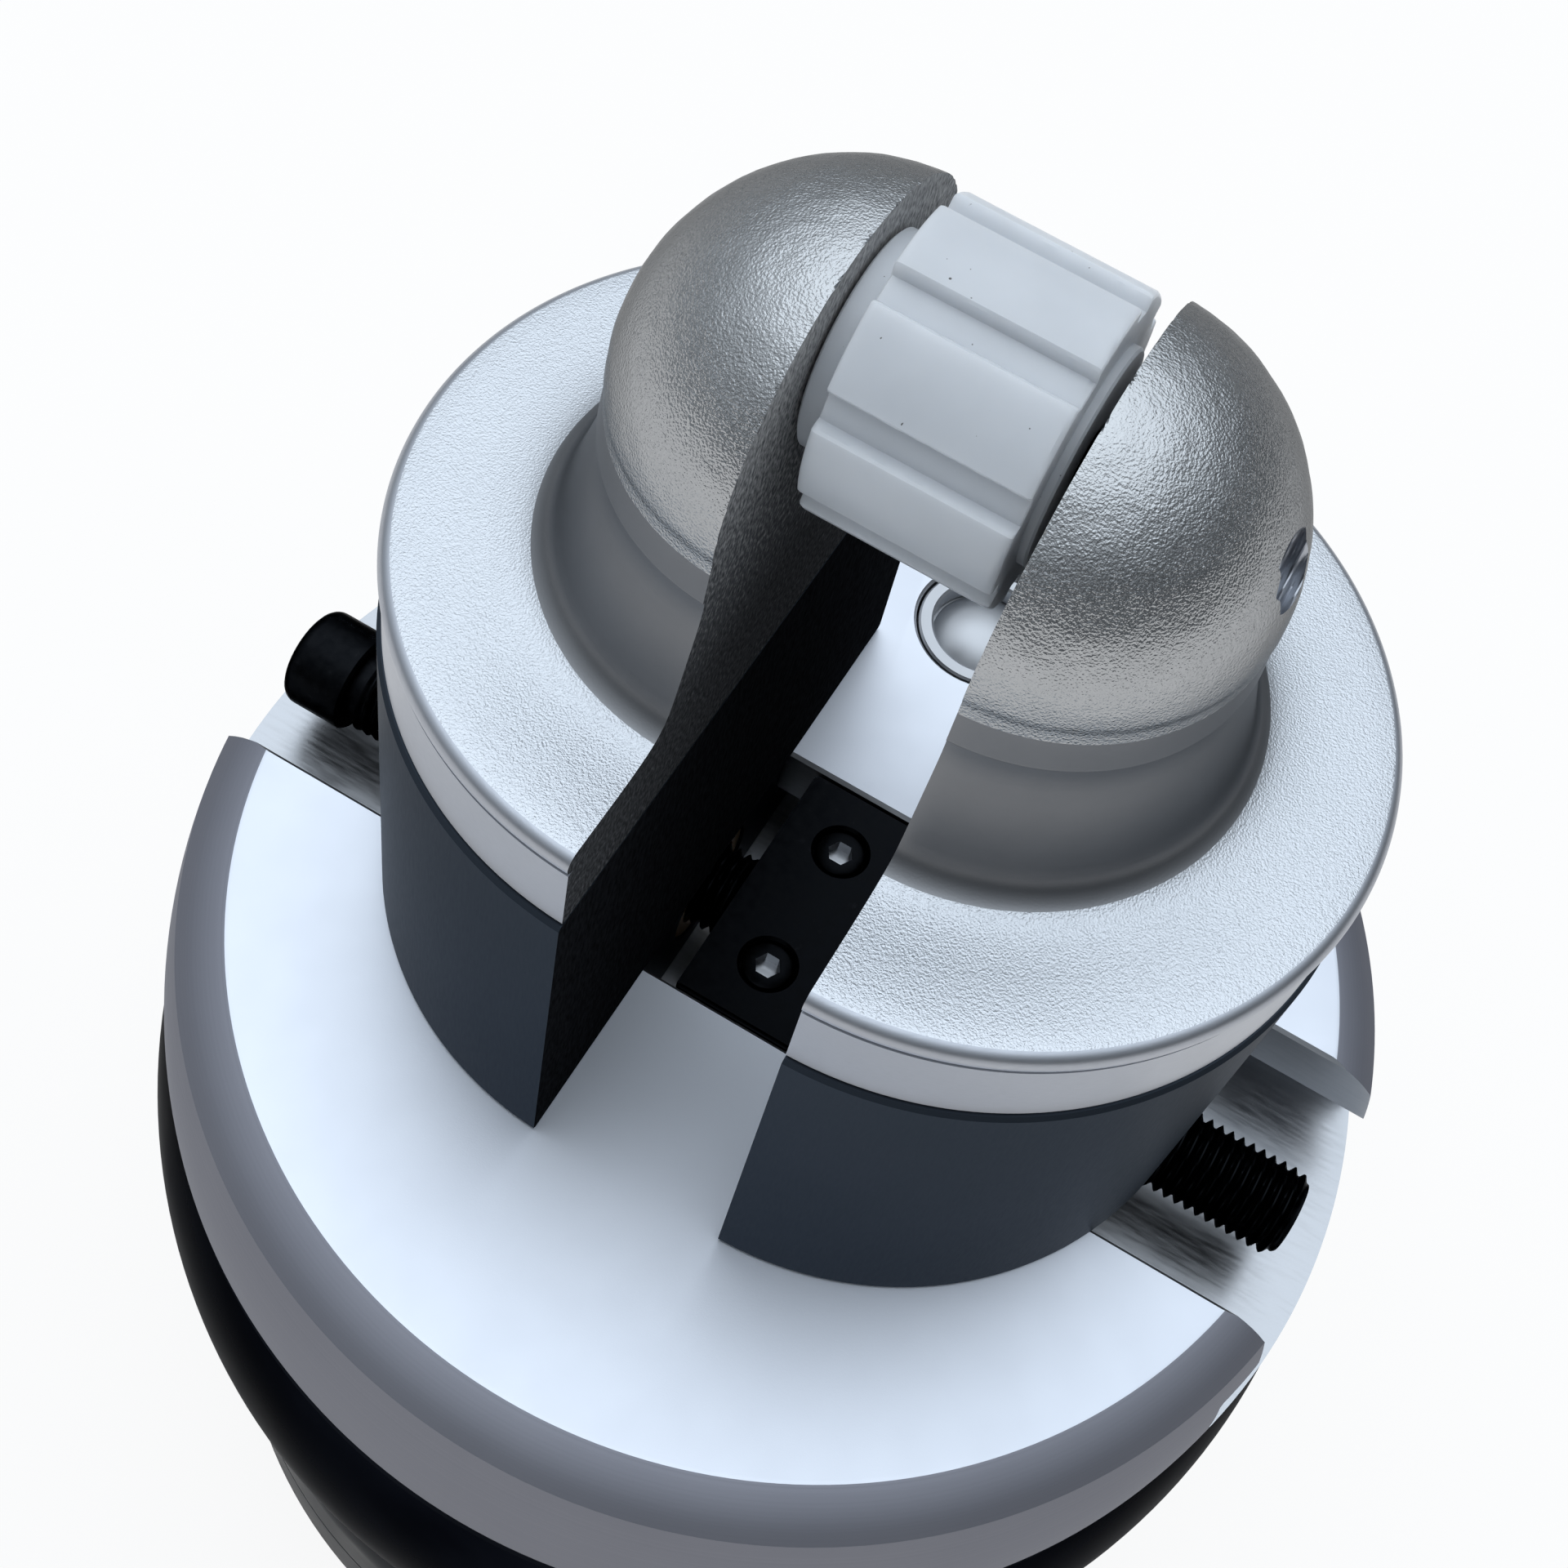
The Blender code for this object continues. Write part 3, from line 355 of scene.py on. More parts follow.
edge, foot_r, counterbore_r, counterbore_top, bush_r = 0.4, 28.0, 24.0, 36.3, 17.3
recess_r, recess_floor = 26.5, ball_top - 8.6
top_angle = asin((ball_top - edge - ball_z) / ball_r) * 180 / pi
foot_angle = -acos((foot_r + edge) / ball_r) * 180 / pi
foot_z = ball_z - sqrt(ball_r**2 - foot_r**2)
ball_profile = [(recess_r + edge, ball_top, 0), (ball_r * cos(radians(top_angle)) - 0.5, ball_top)]
ball_profile += bow(ball_r, (0, ball_z), top_angle, foot_angle, 72)
ball_profile += [(foot_r - edge, foot_z), (counterbore_r + edge, foot_z, 1), (counterbore_r, foot_z + edge)]
ball_profile += [(counterbore_r, counterbore_top), (bush_r + edge, counterbore_top)]
ball_profile += [(bush_r, counterbore_top + edge), (bush_r, recess_floor), (recess_r, recess_floor)]
ball_profile += [(recess_r, ball_top - edge), (recess_r + edge, ball_top)]
lower_ball = turned("blacked_ball", ball_profile, 216)
index_r, index_floor, clear = 3.4, ball_top - 7.7, ball_top + 2
hole_profile = [(0, index_floor), (index_r, index_floor, 1), (index_r, ball_top - edge)]
hole_profile += [(index_r + edge, ball_top), (index_r + edge, clear), (0, clear)]
index_holes = []
for number in range(12):
    angle = pi / 2 + number * pi / 6
    centre = (pin_circle * cos(angle), pin_circle * sin(angle), 0)
    index_holes.append(turned("index_hole", hole_profile, 28, centre=centre))
reshaped(lower_ball, joined(index_holes))
blacked, tree, shader = new_finish("blacked_turned_steel", (0.014, 0.016, 0.021), 1.0, 0.45, 0.3)
lathe_lines = grain(tree, 0.3, 2, (1, 1, 1), from_axis(tree))
patches = grain(tree, 14.0, 4)
tinted(tree, shader, patches, [(0.3, (0.012, 0.0135, 0.018)), (0.7, (0.016, 0.018, 0.024))])
ranged(tree, patches, 0.42, 0.5, shader.inputs["Roughness"])
relief(tree, shader, (lathe_lines, 0.12, 0.012), (grain(tree, 0.35, 2), 0.1, 0.01))
bored, tree, shader = new_finish("bored_black_steel", (0.03, 0.03, 0.033), 0.8, 0.4)
relief(tree, shader, (grain(tree, 0.25, 2, (1, 1, 1), from_axis(tree)), 0.3, 0.02))
ranged(tree, grain(tree, 3.0), 0.3, 0.5, shader.inputs["Roughness"])
finished(lower_ball, blacked, bored)
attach(lower_ball, "ball")
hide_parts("lower_ball")

# ---------------------------------------------------------------------------
# Bearing between ball and turntable: a bronze bush for the post, two ground
# races, a bronze cage and twelve hard balls, and below them the washer and
# the black bolt that hold the post down.


def recoated(material, *names):
    """Gives CAD pieces that keep their shape a finish."""
    for name in names:
        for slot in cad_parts[name].material_slots:
            slot.material = material


bronze, tree, shader = new_finish("bearing_bronze", (0.55, 0.35, 0.16), 1.0, 0.34)
oiled = grain(tree, 4.0, 4)
bronze_tints = [(0.3, (0.42, 0.25, 0.1)), (0.55, (0.56, 0.36, 0.17)), (0.75, (0.64, 0.44, 0.22))]
tinted(tree, shader, oiled, bronze_tints)
ranged(tree, oiled, 0.26, 0.46, shader.inputs["Roughness"])
relief(tree, shader, (grain(tree, 0.2, 2), 0.25, 0.01))
recoated(bronze, "post_bush", "bearing_cage", "jaw_nut_left", "jaw_nut_right")

ground, tree, shader = new_finish("ground_bright_steel", (0.6, 0.61, 0.63), 1.0, 0.2)
scratched = grain(tree, 0.3, 3, (1, 0.08, 1))
tinted(tree, shader, scratched, [(0.3, (0.5, 0.51, 0.53)), (0.7, (0.66, 0.67, 0.69))])
ranged(tree, scratched, 0.15, 0.3, shader.inputs["Roughness"])
relief(tree, shader, (scratched, 0.12, 0.005))
recoated(ground, "race_lower", "race_upper", "retaining_washer", "yoke_dowel")
recoated(ground, *["bearing_ball_" + str(number).zfill(2) for number in range(1, 13)])
recoated(ground, *["head_pin_" + side + "_" + end for side in ("left", "right") for end in ("near", "far")])

black_oxide, tree, shader = new_finish("black_oxide_steel", (0.007, 0.008, 0.01), 1.0, 0.4, 0.35)
rubbed = grain(tree, 1.2, 4)
oxide_tints = [(0.35, (0.004, 0.0045, 0.0055)), (0.65, (0.007, 0.0077, 0.009))]
tinted(tree, shader, rubbed, oxide_tints + [(0.85, (0.015, 0.016, 0.019))])
ranged(tree, rubbed, 0.28, 0.46, shader.inputs["Roughness"])
relief(tree, shader, (grain(tree, 0.15, 2), 0.15, 0.008))
recoated(black_oxide, "pivot_bolt")

# ---------------------------------------------------------------------------
# Turntable: turned from steel in one piece with its post. The deck is fine
# blasted, its rounded side is satin turned, and a T-slot for the jaws is
# milled right across it.
table_r = ball_r - 2.7
deck_edge = table_r - 7.3
table_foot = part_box("race_upper")[1].z / MM + 0.3
post_foot = 36.0
widest = deck - 20.0
shoulder_angle = asin(17.4 / table_r) * 180 / pi
table_profile = [(0, deck, 0), (deck_edge - 0.4, deck), (deck_edge, deck - 0.05, 1)]
for out, drop in ((0.45, 0.14), (1.0, 0.3), (2.0, 0.66), (3.1, 1.18), (4.1, 1.84)):
    table_profile.append((deck_edge + out, deck - drop))
table_profile += bow(table_r, (0, widest), shoulder_angle, 0, 30)
post_r, post_edge, thread_r, thread_deep = 13.5, 0.8, 6.3, 30
table_profile += [(table_r - 0.15, table_foot + 0.5), (table_r - 0.6, table_foot), (post_r, table_foot, 2)]
table_profile += [(post_r, post_foot + post_edge), (post_r - post_edge, post_foot)]
table_profile += [(thread_r + 0.5, post_foot), (thread_r, post_foot + 0.5)]
table_profile += [(thread_r, post_foot + thread_deep), (0, post_foot + thread_deep)]
turntable = turned("turntable_with_post", table_profile, 240)


def drawn(name, outline, low, high, edge=0.0, along="X"):
    """A bar of that outline, in millimetres, with its edges broken by that much."""
    shell = bmesh.new()
    ends = []
    for end in (low, high):
        ends.append([])
        for first, second in outline:
            place = (end, first, second) if along == "X" else (first, second, end)
            ends[-1].append(shell.verts.new(Vector(place) * MM))
    shell.faces.new(ends[0])
    shell.faces.new(ends[1][::-1])
    for index in range(len(outline)):
        after = (index + 1) % len(outline)
        shell.faces.new([ends[0][index], ends[1][index], ends[1][after], ends[0][after]])
    bmesh.ops.recalc_face_normals(shell, faces=shell.faces)
    if edge:
        bmesh.ops.bevel(shell, geom=shell.edges[:], offset=edge * MM, segments=2, affect="EDGES")
    return solid_of(name, shell)


slot_half, slot_wide, slot_lip, slot_deep = 15.5, 21.5, 8.0, 16.0
lip_z, slot_floor = deck - slot_lip, deck - slot_deep
slot_side = [(slot_half + 3.4, deck + 3), (slot_half + 0.4, deck), (slot_half, deck - 0.4)]
slot_side += [(slot_half, lip_z + 0.3), (slot_half + 0.3, lip_z), (slot_wide - 0.5, lip_z)]
slot_side += [(slot_wide, lip_z - 0.5), (slot_wide, slot_floor + 0.6), (slot_wide - 0.6, slot_floor)]
slot_outline = slot_side + [(-y, z) for y, z in reversed(slot_side)]
cutter = drawn("tool", slot_outline, -2 * table_r, 2 * table_r)
for face in cutter.data.polygons:
    face.material_index = 2
reshaped(turntable, cutter)
lock_y = 44.0
bore_r, bore_edge, bore_floor, pin_hole_r, dowel_r = 8.4, 0.35, deck - 14, 3.4, 2.3
bore_profile = [(0, bore_floor), (bore_r, bore_floor, 2), (bore_r, deck - bore_edge)]
bore_profile += [(bore_r + bore_edge, deck), (bore_r + bore_edge, deck + 2), (0, deck + 2)]
reshaped(turntable, turned("tool", bore_profile, 64, centre=(0, lock_y, 0)))
pin_bore = [(0, table_foot - 2), (pin_hole_r, table_foot - 2, 2), (pin_hole_r, deck - 13), (0, deck - 13)]
dowel_bore = [(0, deck - 19.5), (dowel_r, deck - 19.5, 2), (dowel_r, deck - 15), (0, deck - 15)]
small_bores = [turned("pin_bore", pin_bore, 40, centre=(0, lock_y, 0)), turned("dowel_bore", dowel_bore, 24)]
reshaped(turntable, joined(small_bores))

blasted, tree, shader = new_finish("fine_blasted_steel", (0.66, 0.69, 0.75), 1.0, 0.47)
clouds = grain(tree, 22.0, 3)
tinted(tree, shader, clouds, [(0.3, (0.65, 0.68, 0.74)), (0.7, (0.67, 0.7, 0.76))])
ranged(tree, grain(tree, 5.0, 3), 0.46, 0.48, shader.inputs["Roughness"])
relief(tree, shader, (grain(tree, 0.16, 2), 0.22, 0.02))
turned_side, tree, shader = new_finish("satin_turned_steel", (0.25, 0.255, 0.29), 1.0, 0.58, 0.6)
rings = grain(tree, 0.22, 2, (1, 1, 1), from_axis(tree))
tinted(tree, shader, grain(tree, 26.0, 3), [(0.3, (0.24, 0.245, 0.28)), (0.7, (0.26, 0.265, 0.3))])
ranged(tree, rings, 0.56, 0.62, shader.inputs["Roughness"])
relief(tree, shader, (rings, 0.1, 0.01), (grain(tree, 0.3, 2), 0.06, 0.01))
milled, tree, shader = new_finish("milled_steel", (0.45, 0.465, 0.49), 1.0, 0.36)
cutter_marks = grain(tree, 0.5, 2, (0.12, 1, 1))
tinted(tree, shader, cutter_marks, [(0.3, (0.42, 0.435, 0.46)), (0.7, (0.48, 0.495, 0.52))])
ranged(tree, cutter_marks, 0.28, 0.42, shader.inputs["Roughness"])
relief(tree, shader, (cutter_marks, 0.18, 0.012))
finished(turntable, blasted, turned_side, milled)
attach(turntable, "turntable")
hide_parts("turntable")

# ---------------------------------------------------------------------------
# Lock: a domed push button in a pressed-in ring, flush in the far side of the
# deck. Its pin drops into one of the ball's holes, and a coil spring lifts it.
ring_r, ring_bore_r, ring_top, ring_foot = 8.1, 6.3, deck - 0.2, deck - 2.7
ring_profile = [(ring_r - 0.25, ring_top), (ring_r, deck - 0.45), (ring_r, ring_foot)]
ring_profile += [(ring_bore_r, ring_foot), (ring_bore_r, deck - 0.5), (ring_bore_r + 0.3, ring_top)]
ring_profile += [ring_profile[0]]
lock_ring = turned("lock_ring_pressed_in", ring_profile, 96, centre=(0, lock_y, 0))
button_r, button_rise, collar_r, lock_pin_r = 6.0, 2.2, 7.9, 3.0
button_top, collar_top, collar_foot, pin_tip = deck - 0.5, deck - 3.0, deck - 5.1, table_foot + 0.6
dome = (button_r**2 + button_rise**2) / (2 * button_rise)
dome_angle = acos(button_r / dome) * 180 / pi
button_profile = [(0, button_top)] + bow(dome, (0, button_top - dome), 90, dome_angle, 16)[1:]
button_profile += [(button_r, collar_top), (collar_r - 0.3, collar_top), (collar_r, collar_top - 0.3)]
button_profile += [(collar_r, collar_foot), (lock_pin_r, collar_foot), (lock_pin_r, pin_tip + 0.6)]
button_profile += [(lock_pin_r - 0.6, pin_tip), (0, pin_tip)]
lock_button = turned("lock_push_button", button_profile, 96, centre=(0, lock_y, 0))
polished, tree, shader = new_finish("button_satin_steel", (0.48, 0.495, 0.52), 1.0, 0.45)
fingered = grain(tree, 2.5, 4)
tinted(tree, shader, fingered, [(0.3, (0.46, 0.475, 0.5)), (0.7, (0.5, 0.515, 0.54))])
ranged(tree, fingered, 0.42, 0.5, shader.inputs["Roughness"])
relief(tree, shader, (grain(tree, 0.14, 2, (1, 1, 1), from_axis(tree, (0, lock_y))), 0.12, 0.01))
for piece, node, body in ((lock_ring, "lock_ring", "turntable"), (lock_button, "lock_button", "lock_button")):
    finished(piece, polished)
    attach(piece, body)
    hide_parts(node)
spring_wire, tree, shader = new_finish("drawn_spring_wire", (0.45, 0.46, 0.48), 1.0, 0.25)
die_marks = grain(tree, 0.2, 3)
tinted(tree, shader, die_marks, [(0.3, (0.38, 0.39, 0.41)), (0.7, (0.5, 0.51, 0.53))])
relief(tree, shader, (die_marks, 0.15, 0.005))
spring_low, spring_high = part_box("lock_spring")
wire_r, wire_sides, wire_steps, coil_turns = 0.4, 10, 160, 4
coil_r = spring_high.x / MM - wire_r
coil_foot, coil_height = spring_low.z / MM + wire_r, (spring_high.z - spring_low.z) / MM - 2 * wire_r
shell = bmesh.new()
loops = []
for step in range(wire_steps + 1):
    rise = step / wire_steps
    # the coils lie closer at both ends, as that is where they move least when pressed
    turn = 2 * pi * coil_turns * 15 / 8 * (rise - 1.4 * rise**2 + 0.9333 * rise**3)
    loop = []
    for corner in range(wire_sides):
        round_wire = 2 * pi * corner / wire_sides
        reach = coil_r + wire_r * cos(round_wire)
        height = coil_foot + coil_height * rise + wire_r * sin(round_wire)
        place = Vector((reach * cos(turn), lock_y + reach * sin(turn), height))
        loop.append(shell.verts.new(place * MM))
    loops.append(loop)
for here, there in zip(loops, loops[1:]):
    for corner in range(wire_sides):
        after = (corner + 1) % wire_sides
        shell.faces.new([here[corner], here[after], there[after], there[corner]])
shell.faces.new(loops[0][::-1])
shell.faces.new(loops[-1])
coil_spring = solid_of("lock_coil_spring", shell)
finished(coil_spring, spring_wire)
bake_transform(coil_spring)
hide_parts("lock_spring")

# ---------------------------------------------------------------------------
# Lead screw: blacked steel with a right-hand thread on one side of its plain
# middle and a left-hand thread on the other, so that one turn of the key moves
# both jaws. A hex key fits either end, and the left end has a round head.
screw_z = deck - 6.5
screw_low, screw_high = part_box("lead_screw")
screw_left, screw_right = screw_low.x / MM, screw_high.x / MM


def threaded(name, rows, pitch, depth, centre, columns=40):
    """A bar along X cut with a thread.

    Rows are (x, radius, share of the depth, hand); hand 1 is a right-hand
    thread and -1 a left-hand one.
    """
    shell = bmesh.new()
    rings = []
    for x, radius, share, hand in rows:
        ring = []
        for column in range(columns):
            turn = 2 * pi * column / columns
            phase = (x / pitch + hand * column / columns) % 1
            groove = min(max(abs(phase - 0.5) * 2.6 - 0.25, 0), 1)
            reach = radius - depth * share * (1 - groove)
            place = (x, reach * cos(turn), reach * sin(turn))
            ring.append(shell.verts.new([(at + middle) * MM for at, middle in zip(place, centre)]))
        rings.append(ring)
    for here, there in zip(rings, rings[1:]):
        for column in range(columns):
            after = (column + 1) % columns
            shell.faces.new([here[column], there[column], there[after], here[after]])
    shell.faces.new(rings[0][::-1])
    shell.faces.new(rings[-1])
    return solid_of(name, shell, 38)


pitch, thread_depth, screw_r, root_r, journal_r = 1.25, 0.72, 4.9, 4.3, 3.5
journal_half, thread_start = 7.3, 7.4
round_r, knob_r, knob_long = 1.4, 5.8, 7.5
rows = [(screw_left, 3.9, 0, 1)]
for a in (20, 40, 60, 80, 90):
    rows.append((screw_left + round_r - round_r * cos(radians(a)), 4.4 + round_r * sin(radians(a)), 0, 1))
rows += [(screw_left + knob_long - 0.3, knob_r, 0, 1), (screw_left + knob_long, knob_r - 0.3, 0, 1)]
rows += [(screw_left + knob_long + 0.02, root_r, 0, 1), (screw_left + 9, root_r, 0, 1)]
left_start = screw_left + 9.1
step = pitch / 8
count = int((-thread_start - left_start) / step)
for index in range(count + 1):
    x = left_start + index * step
    share = min(1, (x - left_start) / pitch, (-thread_start - x) / pitch)
    rows.append((x, screw_r, share, -1))
rows += [(-journal_half - 0.05, root_r, 0, 1), (-journal_half, journal_r, 0, 1)]
rows += [(journal_half, journal_r, 0, 1), (journal_half + 0.05, root_r, 0, 1)]
count = int((screw_right - 0.1 - thread_start) / step)
for index in range(count + 1):
    x = thread_start + index * step
    taper = max(0, x - (screw_right - 0.9))
    share = min(1, (x - thread_start) / pitch)
    rows.append((x, screw_r - taper, share * (1 - min(1, taper)), 1))
rows += [(screw_right, 3.95, 0, 1)]
lead_screw = threaded("lead_screw_two_threads", rows, pitch, thread_depth, (0, 0, screw_z))
key_r, key_deep = 2.9, 5
for low, high in ((screw_left - 1, screw_left + key_deep), (screw_right - key_deep, screw_right + 1)):
    hexagon = [(key_r * cos(k * pi / 3), screw_z + key_r * sin(k * pi / 3)) for k in range(6)]
    reshaped(lead_screw, drawn("tool", hexagon, low, high))
finished(lead_screw, black_oxide)
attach(lead_screw, "lead_screw")
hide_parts("lead_screw")

# ---------------------------------------------------------------------------
# Yoke: a split block in the middle of the T-slot that holds the screw's plain
# middle, so that the screw turns but can't travel. Two socket screws clamp its
# cap, and a dowel keeps its base from sliding.
neck, wing = slot_half - 0.3, slot_wide - 0.3
wing_top, slide_floor = deck - slot_lip - 0.3, deck - slot_deep + 0.3
base_outline = [(-wing, slide_floor), (wing, slide_floor), (wing, wing_top), (neck, wing_top)]
base_outline += [(neck, screw_z - 0.15), (-neck, screw_z - 0.15), (-neck, wing_top), (-wing, wing_top)]
yoke_half, journal_bore_r, past_block = 7, 3.8, 9
yoke_base = drawn("yoke_base_block", base_outline, -yoke_half, yoke_half, 0.25)
cap_outline = [(-neck, screw_z + 0.15), (neck, screw_z + 0.15), (neck, deck - 0.3), (-neck, deck - 0.3)]
yoke_cap = drawn("yoke_cap_block", cap_outline, -yoke_half, yoke_half, 0.35)
journal_bore = [(0, -past_block), (journal_bore_r, -past_block)]
journal_bore += [(journal_bore_r, past_block), (0, past_block)]
for block in (yoke_base, yoke_cap):
    reshaped(block, turned("tool", journal_bore, 48, "X", (0, 0, screw_z)))
screw_y, shank_r, head_seat, sink_r, cap_head_r, small_key_r = 8, 1.5, deck - 3.4, 3.0, 2.7, 1.45
shank_hole_r, shank_foot, head_top = shank_r + 0.3, screw_z - 7.0, deck - 0.6
for y, word in ((-screw_y, "near"), (screw_y, "far")):
    shank_hole = [(0, screw_z - 7.3), (shank_hole_r, screw_z - 7.3), (shank_hole_r, deck + 1), (0, deck + 1)]
    reshaped(yoke_base, turned("tool", shank_hole, 24, centre=(0, y, 0)))
    head_hole = [(0, screw_z - 2), (shank_hole_r, screw_z - 2), (shank_hole_r, head_seat)]
    head_hole += [(sink_r, head_seat), (sink_r, head_top), (sink_r + 0.3, deck - 0.3)]
    head_hole += [(sink_r + 0.3, deck + 1), (0, deck + 1)]
    reshaped(yoke_cap, turned("tool", head_hole, 40, centre=(0, y, 0)))
    screw_profile = [(0, head_top), (cap_head_r - 0.35, head_top), (cap_head_r - 0.1, head_top - 0.1)]
    screw_profile += [(cap_head_r, head_top - 0.35), (cap_head_r, deck - 3.1), (shank_r, deck - 3.1)]
    screw_profile += [(shank_r, shank_foot + 0.3), (shank_r - 0.3, shank_foot), (0, shank_foot)]
    clamp_screw = turned("yoke_socket_screw_" + word, screw_profile, 40, centre=(0, y, 0))
    hexagon = [(small_key_r * cos(k * pi / 3), y + small_key_r * sin(k * pi / 3)) for k in range(6)]
    key_hole = drawn("tool", hexagon, deck - 2.2, deck + 1, along="Z")
    for face in key_hole.data.polygons:
        face.material_index = 1
    reshaped(clamp_screw, key_hole)
    finished(clamp_screw, black_oxide, milled)
    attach(clamp_screw, "turntable")
    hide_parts("yoke_screw_" + word)
dowel_hole = [(0, slide_floor - 1), (dowel_r, slide_floor - 1), (dowel_r, deck - 12.3), (0, deck - 12.3)]
reshaped(yoke_base, turned("tool", dowel_hole, 24))
for block, node in ((yoke_base, "yoke_base"), (yoke_cap, "yoke_cap")):
    finished(block, black_oxide)
    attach(block, "turntable")
    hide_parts(node)

# ---------------------------------------------------------------------------
# Jaws: two half-round posts of dark steel, ground satin, each in one piece
# with the T-shaped slide that runs in the turntable's slot. The screw passes
# through a bore in the slide, and a bronze nut is pressed in there.
cut_x, axis_x = 10.5, 9.3
jaw_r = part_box("jaw_right")[1].y / MM
jaw_foot = deck + 0.3
jaw_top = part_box("jaw_right")[1].z / MM


def halved(piece, side, finish):
    """Saws a turned piece along the cut face and closes the cut."""
    shell = bmesh.new()
    shell.from_mesh(piece.data)
    everything = shell.verts[:] + shell.edges[:] + shell.faces[:]
    place = Vector((side * cut_x * MM, 0, 0))
    inwards = (-side, 0, 0)
    sawn = bmesh.ops.bisect_plane(shell, geom=everything, plane_co=place, plane_no=inwards, clear_outer=True)
    edges = [item for item in sawn["geom_cut"] if isinstance(item, bmesh.types.BMEdge)]
    for face in bmesh.ops.holes_fill(shell, edges=edges, sides=0)["faces"]:
        face.material_index = finish
    name = piece.name
    bpy.data.objects.remove(piece)
    return solid_of(name, shell)


jaw_steel, tree, shader = new_finish("dark_ground_steel", (0.045, 0.056, 0.072), 1.0, 0.44, 0.5)
wear = grain(tree, 16.0, 4)
tinted(tree, shader, wear, [(0.3, (0.043, 0.054, 0.07)), (0.7, (0.047, 0.058, 0.075))])
upright = grain(tree, 0.25, 2, (1, 1, 0.15))
ranged(tree, upright, 0.42, 0.46, shader.inputs["Roughness"])
relief(tree, shader, (upright, 0.03, 0.004), (grain(tree, 0.2, 1), 0.03, 0.004))
sawn_black, tree, shader = new_finish("blacked_sawn_face", (0.012, 0.0125, 0.014), 0.0, 0.7)
shader.inputs["Specular IOR Level"].default_value = 0.0
saw_marks = grain(tree, 0.4, 3, (1, 1, 0.3))
tinted(tree, shader, saw_marks, [(0.3, (0.008, 0.008, 0.009)), (0.7, (0.02, 0.021, 0.024))])
relief(tree, shader, (saw_marks, 0.25, 0.03))
pin_x, pin_y, seat_pin_r = 24.0, 22.0, 3.3
for side, word in ((-1, "left"), (1, "right")):
    jaw_profile = [(0, jaw_top, 0), (jaw_r - 0.35, jaw_top), (jaw_r, jaw_top - 0.35), (jaw_r, jaw_foot + 0.3)]
    jaw_profile += [(jaw_r - 0.3, jaw_foot), (0, jaw_foot)]
    jaw = turned("half_round_jaw_" + word, jaw_profile, 216, centre=(side * axis_x, 0, 0))
    jaw = halved(jaw, side, 1)
    slide_top = jaw_foot + 1.2
    slide_outline = base_outline[:4] + [(neck, slide_top), (-neck, slide_top)] + base_outline[6:]
    low, high = sorted((side * 11.0, side * 38.0))
    reshaped(jaw, drawn("tool", slide_outline, low, high, 0.2), "UNION")
    nut_r, nut_start, nut_end, screw_hole_r, through = 7.3, cut_x - 2, 26.6, 5.3, 39
    bore = [(0, nut_start), (nut_r, nut_start), (nut_r, nut_end), (screw_hole_r, nut_end)]
    bore += [(screw_hole_r, through), (0, through)]
    reshaped(jaw, turned("tool", [(r, side * x) for r, x in bore], 64, "X", (0, 0, screw_z)))
    pin_floor = jaw_top - 8.3
    pin_holes = []
    for y in (-pin_y, pin_y):
        pin_hole = [(0, pin_floor), (seat_pin_r, pin_floor), (seat_pin_r, jaw_top + 1), (0, jaw_top + 1)]
        pin_holes.append(turned("pin_hole", pin_hole, 24, centre=(side * pin_x, y, 0)))
    reshaped(jaw, joined(pin_holes))
    finished(jaw, jaw_steel, sawn_black)
    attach(jaw, "jaw_" + word)
    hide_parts("jaw_" + word)

# ---------------------------------------------------------------------------
# Split-ball head: one aluminium casting, a ball on a waisted neck and a round
# flange, sawn in half from top to bottom. Each half sits flush on its jaw on
# two pins. The ball is left pebbly from blasting, and the flange is finer.
head_r, head_z, hole_z = 19.2, deck + 76.2, deck + 83.6
flange_top, band_foot = deck + 55.6, deck + 44.6
lip_out, lip_round, band_r = jaw_r - 0.2, 1.3, jaw_r - 0.45
tapped_hole_r, stud_hole_r, stud_hole_foot, stud_hole_mouth = 3.3, 3.05, -17.8, -5
small_pitch, small_depth = 1.0, 0.5
# radius and height above the deck, from the collar below the dome down to the flange
collar = [(19.12, 76.2), (19.0, 75.7), (18.98, 75.2)]
collar_foot = [(19.04, 74.2), (19.16, 72.6), (19.27, 71.0), (19.3, 70.75)]
collar_foot += [(19.22, 70.6), (19.0, 70.5), (19.0, 69.6)]
waist = [(19.08, 68.6), (19.3, 67.4), (19.7, 65.8), (20.2, 63.9), (20.65, 62.2), (21.1, 60.5)]
waist += [(21.45, 59.3), (21.8, 58.3), (22.2, 57.55), (22.8, 56.85)]
fillet = [(23.7, 56.3), (24.8, 55.95), (26.2, 55.75), (27.6, 55.63)]
head_profile = [(0, head_z + head_r, 0)] + bow(head_r, (0, head_z), 90, 1.5, 88)[1:]
for finish, stretch in ((0, collar), (1, collar_foot + waist), (2, fillet)):
    head_profile += [(radius, deck + height, finish) for radius, height in stretch]
head_profile += [(radius, flange_top) for radius in (29, 31, 33, lip_out - 1.25)]
lip = bow(lip_round, (lip_out - lip_round, flange_top - lip_round), 78, -75, 14)
head_profile += [(*lip[0], 3)] + lip[1:] + [(band_r, flange_top - 2 * lip_round + 0.05)]
head_profile += [(band_r, band_foot + 0.25), (band_r - 0.25, band_foot), (0, band_foot)]

